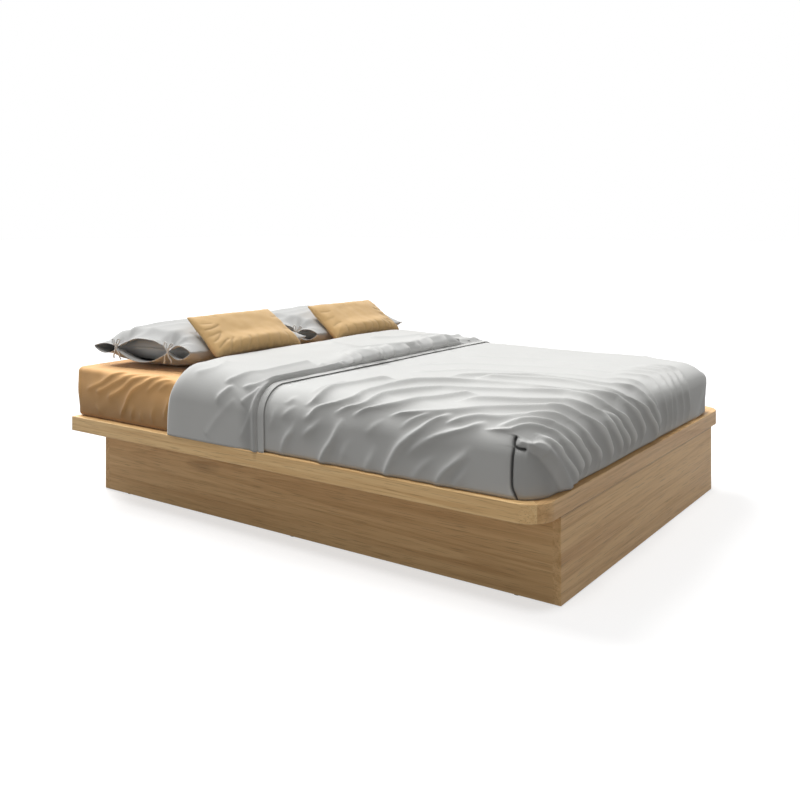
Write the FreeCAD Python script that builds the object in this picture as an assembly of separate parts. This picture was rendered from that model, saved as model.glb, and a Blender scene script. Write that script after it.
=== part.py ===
# Platform bed: a low oak border on an inset plinth, a slatted deck, and a mattress with made-up bedding.
# Frame: +Z up, origin on the floor under the middle of the platform, foot at -Y, head at +Y, lengths in mm.
import FreeCAD, Part
import math
import os

Vector = FreeCAD.Vector
UP = Vector(0, 0, 1)
DOWN = Vector(0, 0, -1)

# Mattress in its fitted sheet, and how far the platform stands out round it.
MATTRESS_WIDTH = 1500.0
MATTRESS_LENGTH = 2000.0
MATTRESS_HEIGHT = 190.0
MATTRESS_LEFT_MARGIN = 25.0
MATTRESS_RIGHT_MARGIN = 105.0
MATTRESS_HEAD_MARGIN = 3.0
MATTRESS_FOOT_MARGIN = 27.0
MATTRESS_CORNER_RADIUS = 60.0
MATTRESS_EDGE_RADIUS = 26.0
SHEET_THICKNESS = 1.5
SHEET_HEM = 140.0

# Border of the platform: four boards, mitred and rounded at the foot, square at the head.
RAIL_WIDTH = 180.0
RAIL_THICKNESS = 55.0
FOOT_CORNER_RADIUS = 80.0
ARRIS_RADIUS = 3.0
TONGUE_LENGTH = 130.0
TONGUE_WIDTH = 60.0
TONGUE_THICKNESS = 9.0
RAIL_DOWEL_RADIUS = 6.0
RAIL_DOWEL_LENGTH = 80.0
RAIL_DOWEL_SHARES = (0.25, 0.75)

# Slatted deck, let into a rebate along the two side boards.
SLAT_COUNT = 14
SLAT_WIDTH = 90.0
SLAT_THICKNESS = 20.0
SLAT_BEARING = 30.0
SLAT_END_GAP = 2.0
DECK_END_GAP = 15.0
BEAM_WIDTH = 45.0
BEAM_HEIGHT = 90.0
HANGER_THICKNESS = 2.5
HANGER_DEPTH = 45.0
HANGER_WING = 32.0
HANGER_MARGIN = 2.0

# Plinth: a box of panels on small glides, set back under the border.
PLINTH_HEIGHT = 250.0
PANEL_THICKNESS = 25.0
SIDE_OVERHANG = 125.0
HEAD_OVERHANG = 40.0
FOOT_REVEAL = 2.0
BEARER_SHARES = (0.34, 0.66)
BLOCK_SIZE = 45.0
BLOCK_LIFT = 12.0
BATTEN_WIDTH = 28.0
BATTEN_HEIGHT = 30.0
PLINTH_DOWEL_RADIUS = 5.0
PLINTH_DOWEL_LENGTH = 36.0
PLINTH_DOWEL_SHARES = (0.2, 0.5)
GLIDE_HEIGHT = 3.0
GLIDE_RADIUS = 10.0
GLIDE_PIN_RADIUS = 1.5
GLIDE_PIN_LENGTH = 12.0
GLIDE_SHARES = (0.06, 0.5, 0.94)

# Countersunk wood screws, all of one pattern in four lengths.
SCREW_RADIUS = 2.2
SCREW_HEAD_RADIUS = 4.5
SCREW_HEAD_HEIGHT = 3.0
SLAT_SCREW_LENGTH = 30.0
SLAT_SCREW_INSET = 14.0
RAIL_SCREW_LENGTH = 50.0
RAIL_SCREW_SHARES = (0.2, 0.8)
BATTEN_SCREW_LENGTH = 44.0
BATTEN_SCREW_SHARES = (0.08, 0.92)
BLOCK_SCREW_LENGTH = 60.0
BLOCK_SCREW_SHARES = (0.25, 0.7)
HANGER_SCREW_LENGTH = 30.0

# Clearances: between fitted pieces, and the spare length of every cut.
FIT = 0.2
SOFT_FIT = 0.4
OVERRUN = 10.0
SETTLE_STEPS = 40

# Duvet, hanging down both sides and over the foot, with its top end turned back in a wide band.
DUVET_THICKNESS = 24.0
DUVET_SIDE_THICKNESS = 18.0
DUVET_FOOT_THICKNESS = 16.0
DUVET_CORNER_RADIUS = 100.0
DUVET_EDGE_RADIUS = 48.0
BAND_HEAD_EDGE = 565.0
BAND_WIDTH = 445.0
BAND_RISE = 34.0
BAND_SIDE_RISE = 4.0
BAND_ROLL_RADIUS = 24.0
BAND_HEM_RADIUS = 8.0
PLEAT_SETBACK = 68.0
PLEAT_DEPTH = 7.0
FOLD_COUNT = 11
FOLD_WIDTH = 84.0
FOLD_DEPTH = 9.0
FOLD_SWEEP = 300.0
FOLD_START_SHARES = (0.08, 0.3)
FOLD_STEPS = 5

# Pillows in open-ended cases that are closed by two bows each.
PILLOW_LENGTH = 690.0
PILLOW_WIDTH = 485.0
PILLOW_RISE = 90.0
PILLOW_FALL = 76.0
PILLOW_DRAW_IN = 14.0
PILLOW_SEAM = 3.0
PILLOW_SIDE_MARGIN = 105.0
PILLOW_HEAD_MARGIN = 6.0
PILLOW_GAP = 40.0
CASE_THICKNESS = 2.0
MOUTH_TURN = 8.0
MOUTH_LIP = 86.0
MOUTH_RISE = 34.0
MOUTH_PINCH = 5.0
INSERT_ROOM = 20.0
TIE_RADIUS = 2.0
TIE_KNOT_RADIUS = 5.0
TIE_LOOP_RADIUS = 13.0
TIE_TAIL_LENGTH = 34.0
TIE_LEAN = 35.0
TIE_SHARES = (-0.51, 0.56)

# Small cushions that lean on the pillows.
CUSHION_WIDTH = 480.0
CUSHION_HEIGHT = 235.0
CUSHION_RISE = 34.0
CUSHION_DRAW_IN = 12.0
CUSHION_SEAM = 2.5
CUSHION_LEAN = 37.0
CUSHION_INSET = 95.0
CUSHION_BACK_GAP = 34.0

# How the stuffed pieces swell from end to end: pairs of a place along the length and the crown there.
PUFF_CROWN_SHARES = ((-1, 0.1), (-0.86, 0.52), (-0.5, 0.88), (0, 1), (0.5, 0.88), (0.86, 0.52), (1, 0.1))
CASE_CROWN_SHARES = ((-1, 0.4), (-0.64, 0.8), (-0.3, 0.96), (0, 1), (0.5, 0.9), (0.86, 0.56), (1, 0.12))

# Places worked out from the sizes above.
TOUCH = 0.01
half_width = (MATTRESS_LEFT_MARGIN + MATTRESS_WIDTH + MATTRESS_RIGHT_MARGIN) / 2
half_length = (MATTRESS_FOOT_MARGIN + MATTRESS_LENGTH + MATTRESS_HEAD_MARGIN) / 2
platform_top = PLINTH_HEIGHT + RAIL_THICKNESS
rail_middle = PLINTH_HEIGHT + RAIL_THICKNESS / 2
deck_half_width = half_width - RAIL_WIDTH
deck_half_length = half_length - RAIL_WIDTH
slat_bottom = platform_top - SLAT_THICKNESS
slat_half_length = deck_half_width + SLAT_BEARING - SLAT_END_GAP
slat_pitch = (2 * (deck_half_length - DECK_END_GAP) - SLAT_WIDTH) / (SLAT_COUNT - 1)
beam_bottom = slat_bottom - BEAM_HEIGHT
plinth_half_width = half_width - SIDE_OVERHANG
plinth_foot = FOOT_REVEAL - half_length
plinth_head = half_length - HEAD_OVERHANG
panel_inside = plinth_half_width - PANEL_THICKNESS
foot_inside = plinth_foot + PANEL_THICKNESS
head_inside = plinth_head - PANEL_THICKNESS
panel_height = PLINTH_HEIGHT - GLIDE_HEIGHT
mattress_left = MATTRESS_LEFT_MARGIN - half_width
mattress_right = mattress_left + MATTRESS_WIDTH
mattress_head = half_length - MATTRESS_HEAD_MARGIN
mattress_foot = mattress_head - MATTRESS_LENGTH
mattress_top = platform_top + MATTRESS_HEIGHT
band_head = half_length - BAND_HEAD_EDGE
band_foot = band_head - BAND_WIDTH

nodes = {}


def box_between(low, high):
    size = high - low
    return Part.makeBox(size.x, size.y, size.z, low)


def line(start, end):
    return Part.LineSegment(start, end).toShape()


def arc(center, radius, start_angle, end_angle):
    angles = (start_angle, (start_angle + end_angle) / 2, end_angle)
    spots = [center + Vector(math.cos(math.radians(a)), math.sin(math.radians(a)), 0) * radius for a in angles]
    return Part.Arc(*spots).toShape()


def prism(edges, height):
    return Part.Face(Part.Wire(edges)).extrude(UP * height)


def middle_of(edge):
    return edge.valueAt((edge.FirstParameter + edge.LastParameter) / 2)


def is_vertical(edge):
    box = edge.BoundBox
    return max(box.XLength, box.YLength) < TOUCH


def is_level(edge):
    return edge.BoundBox.ZLength < TOUCH


def mirrored(shape):
    return shape.mirror(Vector(0, 0, 0), Vector(1, 0, 0))


def bored(board, holes):
    near = [hole for hole in holes if hole.BoundBox.intersect(board.BoundBox)]
    return board.cut(near).Solids[0] if near else board


# Fasteners and dowels: each solid has a socket of the same form with the fit added.
def screw(length, grow):
    head = SCREW_HEAD_RADIUS + grow
    shank = SCREW_RADIUS + grow
    rim = OVERRUN if grow else 0
    corners = [Vector(0, 0, rim), Vector(head, 0, rim), Vector(head, 0, -grow)]
    corners += [Vector(shank, 0, -SCREW_HEAD_HEIGHT), Vector(shank, 0, 2 * SCREW_RADIUS - length)]
    corners += [Vector(0, 0, -length - grow), Vector(0, 0, rim)]
    outline = [corner for i, corner in enumerate(corners) if corner != corners[i - 1] or i == 0]
    return Part.Face(Part.makePolygon(outline)).revolve(Vector(0, 0, 0), UP, 360).Solids[0]


def driven(length, places, grow=0):
    screws = []
    for position, direction in places:
        turned = screw(length, grow)
        turned.Placement = FreeCAD.Placement(position, FreeCAD.Rotation(DOWN, direction))
        screws.append(turned)
    return screws


def dowels(radius, length, places, grow=0):
    reach = length / 2 + grow
    return [Part.makeCylinder(radius + grow, 2 * reach, spot - axis * reach, axis) for spot, axis in places]


# Border boards.
def foot_corner(side):
    return Vector(side * (half_width - FOOT_CORNER_RADIUS), FOOT_CORNER_RADIUS - half_length, PLINTH_HEIGHT)


def mitre_outer(side):
    reach = FOOT_CORNER_RADIUS * math.sqrt(0.5)
    return foot_corner(side) + Vector(side * reach, -reach, 0)


def mitre_inner(side):
    return Vector(side * deck_half_width, -deck_half_length, PLINTH_HEIGHT)


def platform_outline():
    left = foot_corner(-1)
    right = foot_corner(1)
    head_left = Vector(-half_width, half_length, PLINTH_HEIGHT)
    head_right = Vector(half_width, half_length, PLINTH_HEIGHT)
    out = Vector(FOOT_CORNER_RADIUS, 0, 0)
    down = Vector(0, FOOT_CORNER_RADIUS, 0)
    edges = [line(left - down, right - down), arc(right, FOOT_CORNER_RADIUS, 270, 360)]
    edges += [line(right + out, head_right), line(head_right, head_left), line(head_left, left - out)]
    edges += [arc(left, FOOT_CORNER_RADIUS, 180, 270)]
    return Part.Wire(edges)


def softened(board):
    """Rounds the arrises that lie on the outline of the platform."""
    outline = platform_outline()
    chosen = []
    for edge in board.Edges:
        spot = middle_of(edge)
        spot.z = PLINTH_HEIGHT
        if is_level(edge) and outline.distToShape(Part.Vertex(spot))[0] < TOUCH:
            chosen.append(edge)
    return board.makeFillet(ARRIS_RADIUS, chosen)


def side_rail_left():
    center = foot_corner(-1)
    outer_foot = center - Vector(FOOT_CORNER_RADIUS, 0, 0)
    outer_head = Vector(-half_width, half_length, PLINTH_HEIGHT)
    inner_head = Vector(-deck_half_width, half_length, PLINTH_HEIGHT)
    edges = [arc(center, FOOT_CORNER_RADIUS, 225, 180), line(outer_foot, outer_head)]
    edges += [line(outer_head, inner_head), line(inner_head, mitre_inner(-1))]
    edges += [line(mitre_inner(-1), mitre_outer(-1))]
    board = softened(prism(edges, RAIL_THICKNESS))
    rebate_low = Vector(-deck_half_width - SLAT_BEARING, -deck_half_length, slat_bottom)
    rebate_high = Vector(OVERRUN - deck_half_width, deck_half_length, platform_top + OVERRUN)
    return board.cut(box_between(rebate_low, rebate_high)).Solids[0]


def foot_rail():
    left = foot_corner(-1)
    right = foot_corner(1)
    down = Vector(0, FOOT_CORNER_RADIUS, 0)
    edges = [line(left - down, right - down), arc(right, FOOT_CORNER_RADIUS, 270, 315)]
    edges += [line(mitre_outer(1), mitre_inner(1)), line(mitre_inner(1), mitre_inner(-1))]
    edges += [line(mitre_inner(-1), mitre_outer(-1)), arc(left, FOOT_CORNER_RADIUS, 225, 270)]
    return softened(prism(edges, RAIL_THICKNESS))


def head_rail():
    low = Vector(-deck_half_width, deck_half_length, PLINTH_HEIGHT)
    return softened(box_between(low, Vector(deck_half_width, half_length, platform_top)))


def tongues(grow):
    size = Vector(TONGUE_LENGTH, TONGUE_WIDTH, TONGUE_THICKNESS) + Vector(2 * grow, 2 * grow, 2 * grow)
    made = []
    for side, angle in ((-1, 45), (1, 135)):
        tongue = box_between(size * -0.5, size * 0.5)
        spot = (mitre_outer(side) + mitre_inner(side)) * 0.5 + UP * (RAIL_THICKNESS / 2)
        tongue.Placement = FreeCAD.Placement(spot, FreeCAD.Rotation(UP, angle))
        made.append(tongue)
    return made


# Deck.
def slat_center(index):
    return DECK_END_GAP + SLAT_WIDTH / 2 + index * slat_pitch - deck_half_length


def slat(index):
    middle = slat_center(index)
    low = Vector(-slat_half_length, middle - SLAT_WIDTH / 2, slat_bottom)
    board = box_between(low, Vector(slat_half_length, middle + SLAT_WIDTH / 2, platform_top))
    long_edges = [edge for edge in board.Edges if edge.BoundBox.XLength > slat_half_length]
    return board.makeFillet(ARRIS_RADIUS, long_edges)


def centre_beam():
    end = deck_half_length - HANGER_THICKNESS - FIT
    return box_between(Vector(-BEAM_WIDTH / 2, -end, beam_bottom), Vector(BEAM_WIDTH / 2, end, slat_bottom))


def beam_hanger():
    """Bent steel stirrup at the foot end: two wings on the border board and a cradle for the beam."""
    gap = BEAM_WIDTH / 2 + FIT
    outside = gap + HANGER_THICKNESS
    floor = beam_bottom - FIT - HANGER_THICKNESS
    top = slat_bottom - HANGER_MARGIN
    front = -deck_half_length
    back = front + HANGER_THICKNESS
    cradle = box_between(Vector(-outside, front, floor), Vector(outside, front + HANGER_DEPTH, top))
    hollow_low = Vector(-gap, front - OVERRUN, beam_bottom - FIT)
    cradle = cradle.cut(box_between(hollow_low, Vector(gap, front + HANGER_DEPTH + OVERRUN, top + OVERRUN)))
    wing_low = Vector(-outside - HANGER_WING, front, PLINTH_HEIGHT + HANGER_MARGIN)
    wings = box_between(wing_low, Vector(outside + HANGER_WING, back, top))
    return cradle.fuse(wings).removeSplitter().Solids[0]


# Plinth.
def side_panel_left():
    low = Vector(-plinth_half_width, foot_inside, GLIDE_HEIGHT)
    return box_between(low, Vector(-panel_inside, head_inside, PLINTH_HEIGHT))


def end_panel(start, end, outer):
    low = Vector(-plinth_half_width, start, GLIDE_HEIGHT)
    panel = box_between(low, Vector(plinth_half_width, end, PLINTH_HEIGHT))
    corners = [edge for edge in panel.Edges if is_vertical(edge) and abs(middle_of(edge).y - outer) < TOUCH]
    return panel.makeFillet(ARRIS_RADIUS, corners)


def bearer_center(index):
    return foot_inside + BEARER_SHARES[index] * (head_inside - foot_inside)


def bearer(index):
    start = bearer_center(index) - PANEL_THICKNESS / 2
    end = start + PANEL_THICKNESS
    panel = box_between(Vector(-panel_inside, start, GLIDE_HEIGHT), Vector(panel_inside, end, PLINTH_HEIGHT))
    over = PLINTH_HEIGHT + OVERRUN
    beam_low = Vector(-BEAM_WIDTH / 2 - FIT, start - OVERRUN, beam_bottom)
    cuts = [box_between(beam_low, Vector(BEAM_WIDTH / 2 + FIT, end + OVERRUN, over))]
    batten_low = PLINTH_HEIGHT - BATTEN_HEIGHT - FIT
    batten_in = panel_inside - BATTEN_WIDTH - FIT
    low = Vector(-panel_inside - OVERRUN, start - OVERRUN, batten_low)
    notch = box_between(low, Vector(-batten_in, end + OVERRUN, over))
    cuts += [notch, mirrored(notch)]
    return panel.cut(cuts).Solids[0]


def corner_block(side, end_face, inward):
    near = Vector(side * panel_inside, end_face, GLIDE_HEIGHT + BLOCK_LIFT)
    far = Vector(side * (panel_inside - BLOCK_SIZE), end_face + inward * BLOCK_SIZE, PLINTH_HEIGHT)
    low = Vector(min(near.x, far.x), min(near.y, far.y), near.z)
    return box_between(low, Vector(max(near.x, far.x), max(near.y, far.y), far.z))


def side_batten_left():
    low = Vector(-panel_inside, foot_inside + BLOCK_SIZE, PLINTH_HEIGHT - BATTEN_HEIGHT)
    return box_between(low, Vector(BATTEN_WIDTH - panel_inside, head_inside - BLOCK_SIZE, PLINTH_HEIGHT))


def end_batten(start):
    reach = panel_inside - BLOCK_SIZE
    low = Vector(-reach, start, PLINTH_HEIGHT - BATTEN_HEIGHT)
    return box_between(low, Vector(reach, start + BATTEN_WIDTH, PLINTH_HEIGHT))


def glide_spots():
    side_line = plinth_half_width - PANEL_THICKNESS / 2
    spots = []
    for share in GLIDE_SHARES:
        along = foot_inside + share * (head_inside - foot_inside)
        spots += [Vector(-side_line, along, 0), Vector(side_line, along, 0)]
    lines = [plinth_foot + PANEL_THICKNESS / 2, plinth_head - PANEL_THICKNESS / 2]
    lines += [bearer_center(0), bearer_center(1)]
    for across in lines:
        spots += [Vector(-panel_inside / 2, across, 0), Vector(panel_inside / 2, across, 0)]
    return spots


def glides():
    made = []
    for spot in glide_spots():
        disc = Part.makeCylinder(GLIDE_RADIUS, GLIDE_HEIGHT, spot)
        pin = Part.makeCylinder(GLIDE_PIN_RADIUS, GLIDE_HEIGHT + GLIDE_PIN_LENGTH, spot)
        made.append(disc.fuse(pin).removeSplitter().Solids[0])
    return made


def glide_sockets():
    depth = GLIDE_HEIGHT + GLIDE_PIN_LENGTH + FIT
    return [Part.makeCylinder(GLIDE_PIN_RADIUS + FIT, depth, spot) for spot in glide_spots()]


# Where the fasteners go: a point on the face that takes the head, and the way that the screw points.
def slat_screw_places():
    reach = slat_half_length - SLAT_SCREW_INSET
    spots = [(side * reach, slat_center(i)) for i in range(SLAT_COUNT) for side in (-1, 1)]
    return [(Vector(x, y, platform_top), DOWN) for x, y in spots]


def batten_lines():
    """Start, end and inward direction of each batten's face on its panel."""
    start = foot_inside + BLOCK_SIZE
    end = head_inside - BLOCK_SIZE
    reach = panel_inside - BLOCK_SIZE
    lines = []
    for side in (-1, 1):
        face = side * panel_inside
        lines.append((Vector(face, start, 0), Vector(face, end, 0), Vector(-side, 0, 0)))
    for face, inward in ((foot_inside, 1), (head_inside, -1)):
        lines.append((Vector(-reach, face, 0), Vector(reach, face, 0), Vector(0, inward, 0)))
    return lines


def rail_screw_places():
    places = []
    for start, end, inward in batten_lines():
        for share in RAIL_SCREW_SHARES:
            spot = start + (end - start) * share + inward * (BATTEN_WIDTH / 2)
            places.append((spot + UP * (PLINTH_HEIGHT - BATTEN_HEIGHT), UP))
    return places


def batten_screw_places():
    places = []
    for start, end, inward in batten_lines():
        for share in BATTEN_SCREW_SHARES:
            spot = start + (end - start) * share + inward * BATTEN_WIDTH
            places.append((spot + UP * (PLINTH_HEIGHT - BATTEN_HEIGHT / 2), inward * -1))
    return places


def block_screw_places():
    """One screw into each of the two panels that a corner block joins, at different heights."""
    places = []
    low, high = [GLIDE_HEIGHT + share * panel_height for share in BLOCK_SCREW_SHARES]
    for side in (-1, 1):
        for face, inward in ((foot_inside, 1), (head_inside, -1)):
            inner = side * (panel_inside - BLOCK_SIZE)
            middle = face + inward * BLOCK_SIZE / 2
            places.append((Vector(inner, middle, low), Vector(side, 0, 0)))
            across = side * (panel_inside - BLOCK_SIZE / 2)
            places.append((Vector(across, face + inward * BLOCK_SIZE, high), Vector(0, -inward, 0)))
    return places


def hanger_screw_places():
    height = (PLINTH_HEIGHT + slat_bottom) / 2
    across = BEAM_WIDTH / 2 + FIT + HANGER_THICKNESS + HANGER_WING / 2
    face = deck_half_length - HANGER_THICKNESS
    places = []
    for end in (-1, 1):
        places += [(Vector(side * across, end * face, height), Vector(0, end, 0)) for side in (-1, 1)]
    return places


def rail_dowel_places():
    spots = [deck_half_length + share * RAIL_WIDTH for share in RAIL_DOWEL_SHARES]
    return [(Vector(side * deck_half_width, y, rail_middle), Vector(1, 0, 0)) for side in (-1, 1) for y in spots]


def plinth_dowel_places():
    places = []
    for height in [GLIDE_HEIGHT + share * panel_height for share in PLINTH_DOWEL_SHARES]:
        for side in (-1, 1):
            across = side * (plinth_half_width - PANEL_THICKNESS / 2)
            shift = PLINTH_DOWEL_LENGTH / 2 - PANEL_THICKNESS / 2
            places.append((Vector(across, foot_inside + shift, height), Vector(0, 1, 0)))
            places.append((Vector(across, head_inside - shift, height), Vector(0, 1, 0)))
            for index in range(len(BEARER_SHARES)):
                inner = side * (panel_inside - shift)
                places.append((Vector(inner, bearer_center(index), height), Vector(1, 0, 0)))
    return places


def build_frame():
    """Makes the boards, drills them for their fasteners and adds the fasteners as groups."""
    boards = {"platform_side_rail_left": side_rail_left(), "platform_side_rail_right": mirrored(side_rail_left())}
    boards["platform_foot_rail"] = foot_rail()
    boards["platform_head_rail"] = head_rail()
    for index in range(SLAT_COUNT):
        boards["slat_%02d" % (index + 1)] = slat(index)
    boards["centre_beam"] = centre_beam()
    boards["beam_hanger_foot"] = beam_hanger()
    boards["beam_hanger_head"] = beam_hanger().mirror(Vector(0, 0, 0), Vector(0, 1, 0))
    boards["plinth_side_panel_left"] = side_panel_left()
    boards["plinth_side_panel_right"] = mirrored(side_panel_left())
    boards["plinth_foot_panel"] = end_panel(plinth_foot, foot_inside, plinth_foot)
    boards["plinth_head_panel"] = end_panel(head_inside, plinth_head, plinth_head)
    boards["cross_bearer_foot"] = bearer(0)
    boards["cross_bearer_head"] = bearer(1)
    boards["rail_batten_left"] = side_batten_left()
    boards["rail_batten_right"] = mirrored(side_batten_left())
    boards["rail_batten_foot"] = end_batten(foot_inside)
    boards["rail_batten_head"] = end_batten(head_inside - BATTEN_WIDTH)
    for side, hand in ((-1, "left"), (1, "right")):
        boards["corner_block_foot_" + hand] = corner_block(side, foot_inside, 1)
        boards["corner_block_head_" + hand] = corner_block(side, head_inside, -1)
    groups = {"mitre_tongues": tongues(0), "floor_glides": glides()}
    sockets = tongues(FIT) + glide_sockets()
    screws = {"slat_screws": (SLAT_SCREW_LENGTH, slat_screw_places())}
    screws["rail_screws"] = (RAIL_SCREW_LENGTH, rail_screw_places())
    screws["batten_screws"] = (BATTEN_SCREW_LENGTH, batten_screw_places())
    screws["corner_block_screws"] = (BLOCK_SCREW_LENGTH, block_screw_places())
    screws["hanger_screws"] = (HANGER_SCREW_LENGTH, hanger_screw_places())
    for name, (length, places) in screws.items():
        groups[name] = driven(length, places)
        sockets += driven(length, places, FIT)
    pegs = {"rail_dowels": (RAIL_DOWEL_RADIUS, RAIL_DOWEL_LENGTH, rail_dowel_places())}
    pegs["plinth_dowels"] = (PLINTH_DOWEL_RADIUS, PLINTH_DOWEL_LENGTH, plinth_dowel_places())
    for name, (radius, length, places) in pegs.items():
        groups[name] = dowels(radius, length, places)
        sockets += dowels(radius, length, places, FIT)
    for name, board in boards.items():
        nodes[name] = bored(board, sockets)
    for name, pieces in groups.items():
        nodes[name] = Part.makeCompound(pieces)


# Mattress and fitted sheet.
def padded_block(low, high, corner_radius, edge_radius):
    """A block with rounded upright corners and rounded top and bottom edges."""
    block = box_between(low, high)
    block = block.makeFillet(corner_radius, [edge for edge in block.Edges if is_vertical(edge)])
    return block.makeFillet(edge_radius, [edge for edge in block.Edges if is_level(edge)])


def mattress_block(inset):
    low = Vector(mattress_left, mattress_foot, platform_top) + Vector(inset, inset, inset)
    high = Vector(mattress_right, mattress_head, mattress_top) - Vector(inset, inset, inset)
    return padded_block(low, high, MATTRESS_CORNER_RADIUS - inset, MATTRESS_EDGE_RADIUS - inset)


def fitted_sheet():
    """Cloth skin over the mattress, open underneath inside its turned-in hem."""
    hem = Vector(SHEET_HEM, SHEET_HEM, 0)
    low = Vector(mattress_left, mattress_foot, platform_top - OVERRUN) + hem
    high = Vector(mattress_right, mattress_head, platform_top + MATTRESS_HEIGHT / 2) - hem
    return mattress_block(0).cut([mattress_block(SHEET_THICKNESS), box_between(low, high)]).Solids[0]


# Duvet.
def draped_block(side, foot, head, top, corner_radius, edge_radius):
    """Outer form of the cloth over the mattress: rounded at the foot, square where it ends at the head."""
    low = Vector(mattress_left - side, foot, platform_top + SOFT_FIT)
    block = box_between(low, Vector(mattress_right + side, head, top))
    if corner_radius:
        corners = [edge for edge in block.Edges if is_vertical(edge) and middle_of(edge).y < foot + TOUCH]
        block = block.makeFillet(corner_radius, corners)
    crest = [edge for edge in block.Edges if edge.BoundBox.ZMin > top - TOUCH]
    kept = [edge for edge in crest if abs(middle_of(edge).y - head) > TOUCH]
    if not corner_radius:
        kept = [edge for edge in kept if abs(middle_of(edge).y - foot) > TOUCH]
    return block.makeFillet(edge_radius, kept)


def mattress_space():
    """Room for the mattress and its sheet inside the duvet, open below and towards the head."""
    low = Vector(mattress_left - SOFT_FIT, mattress_foot - SOFT_FIT, platform_top - OVERRUN)
    high = Vector(mattress_right + SOFT_FIT, mattress_head + SOFT_FIT, mattress_top + SOFT_FIT)
    block = box_between(low, high)
    corner_radius = MATTRESS_CORNER_RADIUS + SOFT_FIT
    block = block.makeFillet(corner_radius, [edge for edge in block.Edges if is_vertical(edge)])
    crest = [edge for edge in block.Edges if edge.BoundBox.ZMin > high.z - TOUCH]
    return block.makeFillet(MATTRESS_EDGE_RADIUS + SOFT_FIT, crest)


def valley_section(spot, along, outward):
    """Flat-topped bowl that is swept to cut one valley between two ridges of cloth."""
    across = along.cross(outward).normalize()
    reach = across * (FOLD_WIDTH / 2)
    crest = outward * FOLD_DEPTH
    start = spot - reach + crest
    end = spot + reach + crest
    bowl = Part.Arc(end, spot - outward * FOLD_DEPTH, start).toShape()
    return Part.Wire([line(start, end), bowl])


def fold_valley(index, foot, top):
    """Valley that sweeps over the top towards the foot and runs out down the foot face."""
    share = (index + 0.5) / FOLD_COUNT
    inset = MATTRESS_CORNER_RADIUS + FOLD_WIDTH / 2
    end_x = mattress_left + inset + share * (MATTRESS_WIDTH - 2 * inset)
    sweep = FOLD_SWEEP * (1 - share / 2)
    turn_y = foot + DUVET_EDGE_RADIUS
    start_y = band_foot + FOLD_START_SHARES[index % 2] * (turn_y - band_foot)
    ahead = Vector(0, -1, 0)
    slope = (UP + ahead).normalize()
    sections = []
    for step in range(FOLD_STEPS + 1):
        left = 1 - step / FOLD_STEPS
        spot = Vector(end_x - sweep * left * left, turn_y + (start_y - turn_y) * left, top)
        lift = FOLD_DEPTH if step == 0 else 0
        along = Vector(2 * sweep * left, turn_y - start_y, 0).normalize()
        sections.append(valley_section(spot + UP * lift, along, UP))
    round_center = Vector(end_x, turn_y, top - DUVET_EDGE_RADIUS)
    sections.append(valley_section(round_center + slope * DUVET_EDGE_RADIUS, (ahead - UP).normalize(), slope))
    sections.append(valley_section(round_center + ahead * DUVET_EDGE_RADIUS, DOWN, ahead))
    low = Vector(end_x, foot - FOLD_DEPTH, platform_top)
    sections.append(valley_section(low, DOWN, ahead))
    return Part.makeLoft(sections, True, True)


def duvet():
    foot = mattress_foot - DUVET_FOOT_THICKNESS
    top = mattress_top + DUVET_THICKNESS
    side = DUVET_SIDE_THICKNESS
    body = draped_block(side, foot, band_head - BAND_ROLL_RADIUS, top, DUVET_CORNER_RADIUS, DUVET_EDGE_RADIUS)
    body = body.cut([fold_valley(index, foot, top) for index in range(FOLD_COUNT)])
    pleat_end = mattress_foot + PLEAT_SETBACK
    pleat_low = Vector(mattress_left - side - OVERRUN, foot - OVERRUN, platform_top - OVERRUN)
    pleat = box_between(pleat_low, Vector(mattress_left - side + PLEAT_DEPTH, pleat_end, mattress_top))
    far_pleat = pleat.mirror(Vector((mattress_left + mattress_right) / 2, 0, 0), Vector(1, 0, 0))
    body = body.cut([pleat, far_pleat])
    band_side = side + BAND_SIDE_RISE
    band_top = top + BAND_RISE
    edge_radius = DUVET_EDGE_RADIUS + BAND_SIDE_RISE
    band = draped_block(band_side, band_foot, band_head, band_top, 0, edge_radius)
    roll = [edge for edge in band.Edges if abs(edge.BoundBox.YMin - band_head) < TOUCH]
    upper_roll = [edge for edge in roll if edge.BoundBox.ZMax > platform_top + OVERRUN]
    band = band.makeFillet(BAND_ROLL_RADIUS, upper_roll)
    hem = [edge for edge in band.Edges if abs(edge.BoundBox.YMax - band_foot) < TOUCH]
    upper_hem = [edge for edge in hem if edge.BoundBox.ZMax > platform_top + OVERRUN]
    band = band.makeFillet(BAND_HEM_RADIUS, upper_hem)
    return body.fuse(band).cut(mattress_space()).Solids[0]


# Pillows and cushions: sections with a crown above, a belly below and a narrow seam at each side.
def crown_points(half, rise, seam):
    """Points on the round of a section, from side to side: its ends, the places of the bows and middles."""
    sagitta = rise - seam
    radius = (half * half + sagitta * sagitta) / (2 * sagitta)
    stops = [-1, TIE_SHARES[0], TIE_SHARES[1], 1]
    shares = [-1, (stops[0] + stops[1]) / 2, stops[1], (stops[1] + stops[2]) / 2, stops[2], (stops[2] + 1) / 2, 1]
    return [(half * s, rise - radius + math.sqrt(radius * radius - half * half * s * s)) for s in shares]


def mouth_points(half, rise, seam):
    """The same points where the bows draw the lips of the case together."""
    points = crown_points(half, rise, seam)
    return [(y, MOUTH_PINCH if i in (2, 4) else z) for i, (y, z) in enumerate(points)]


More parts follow.
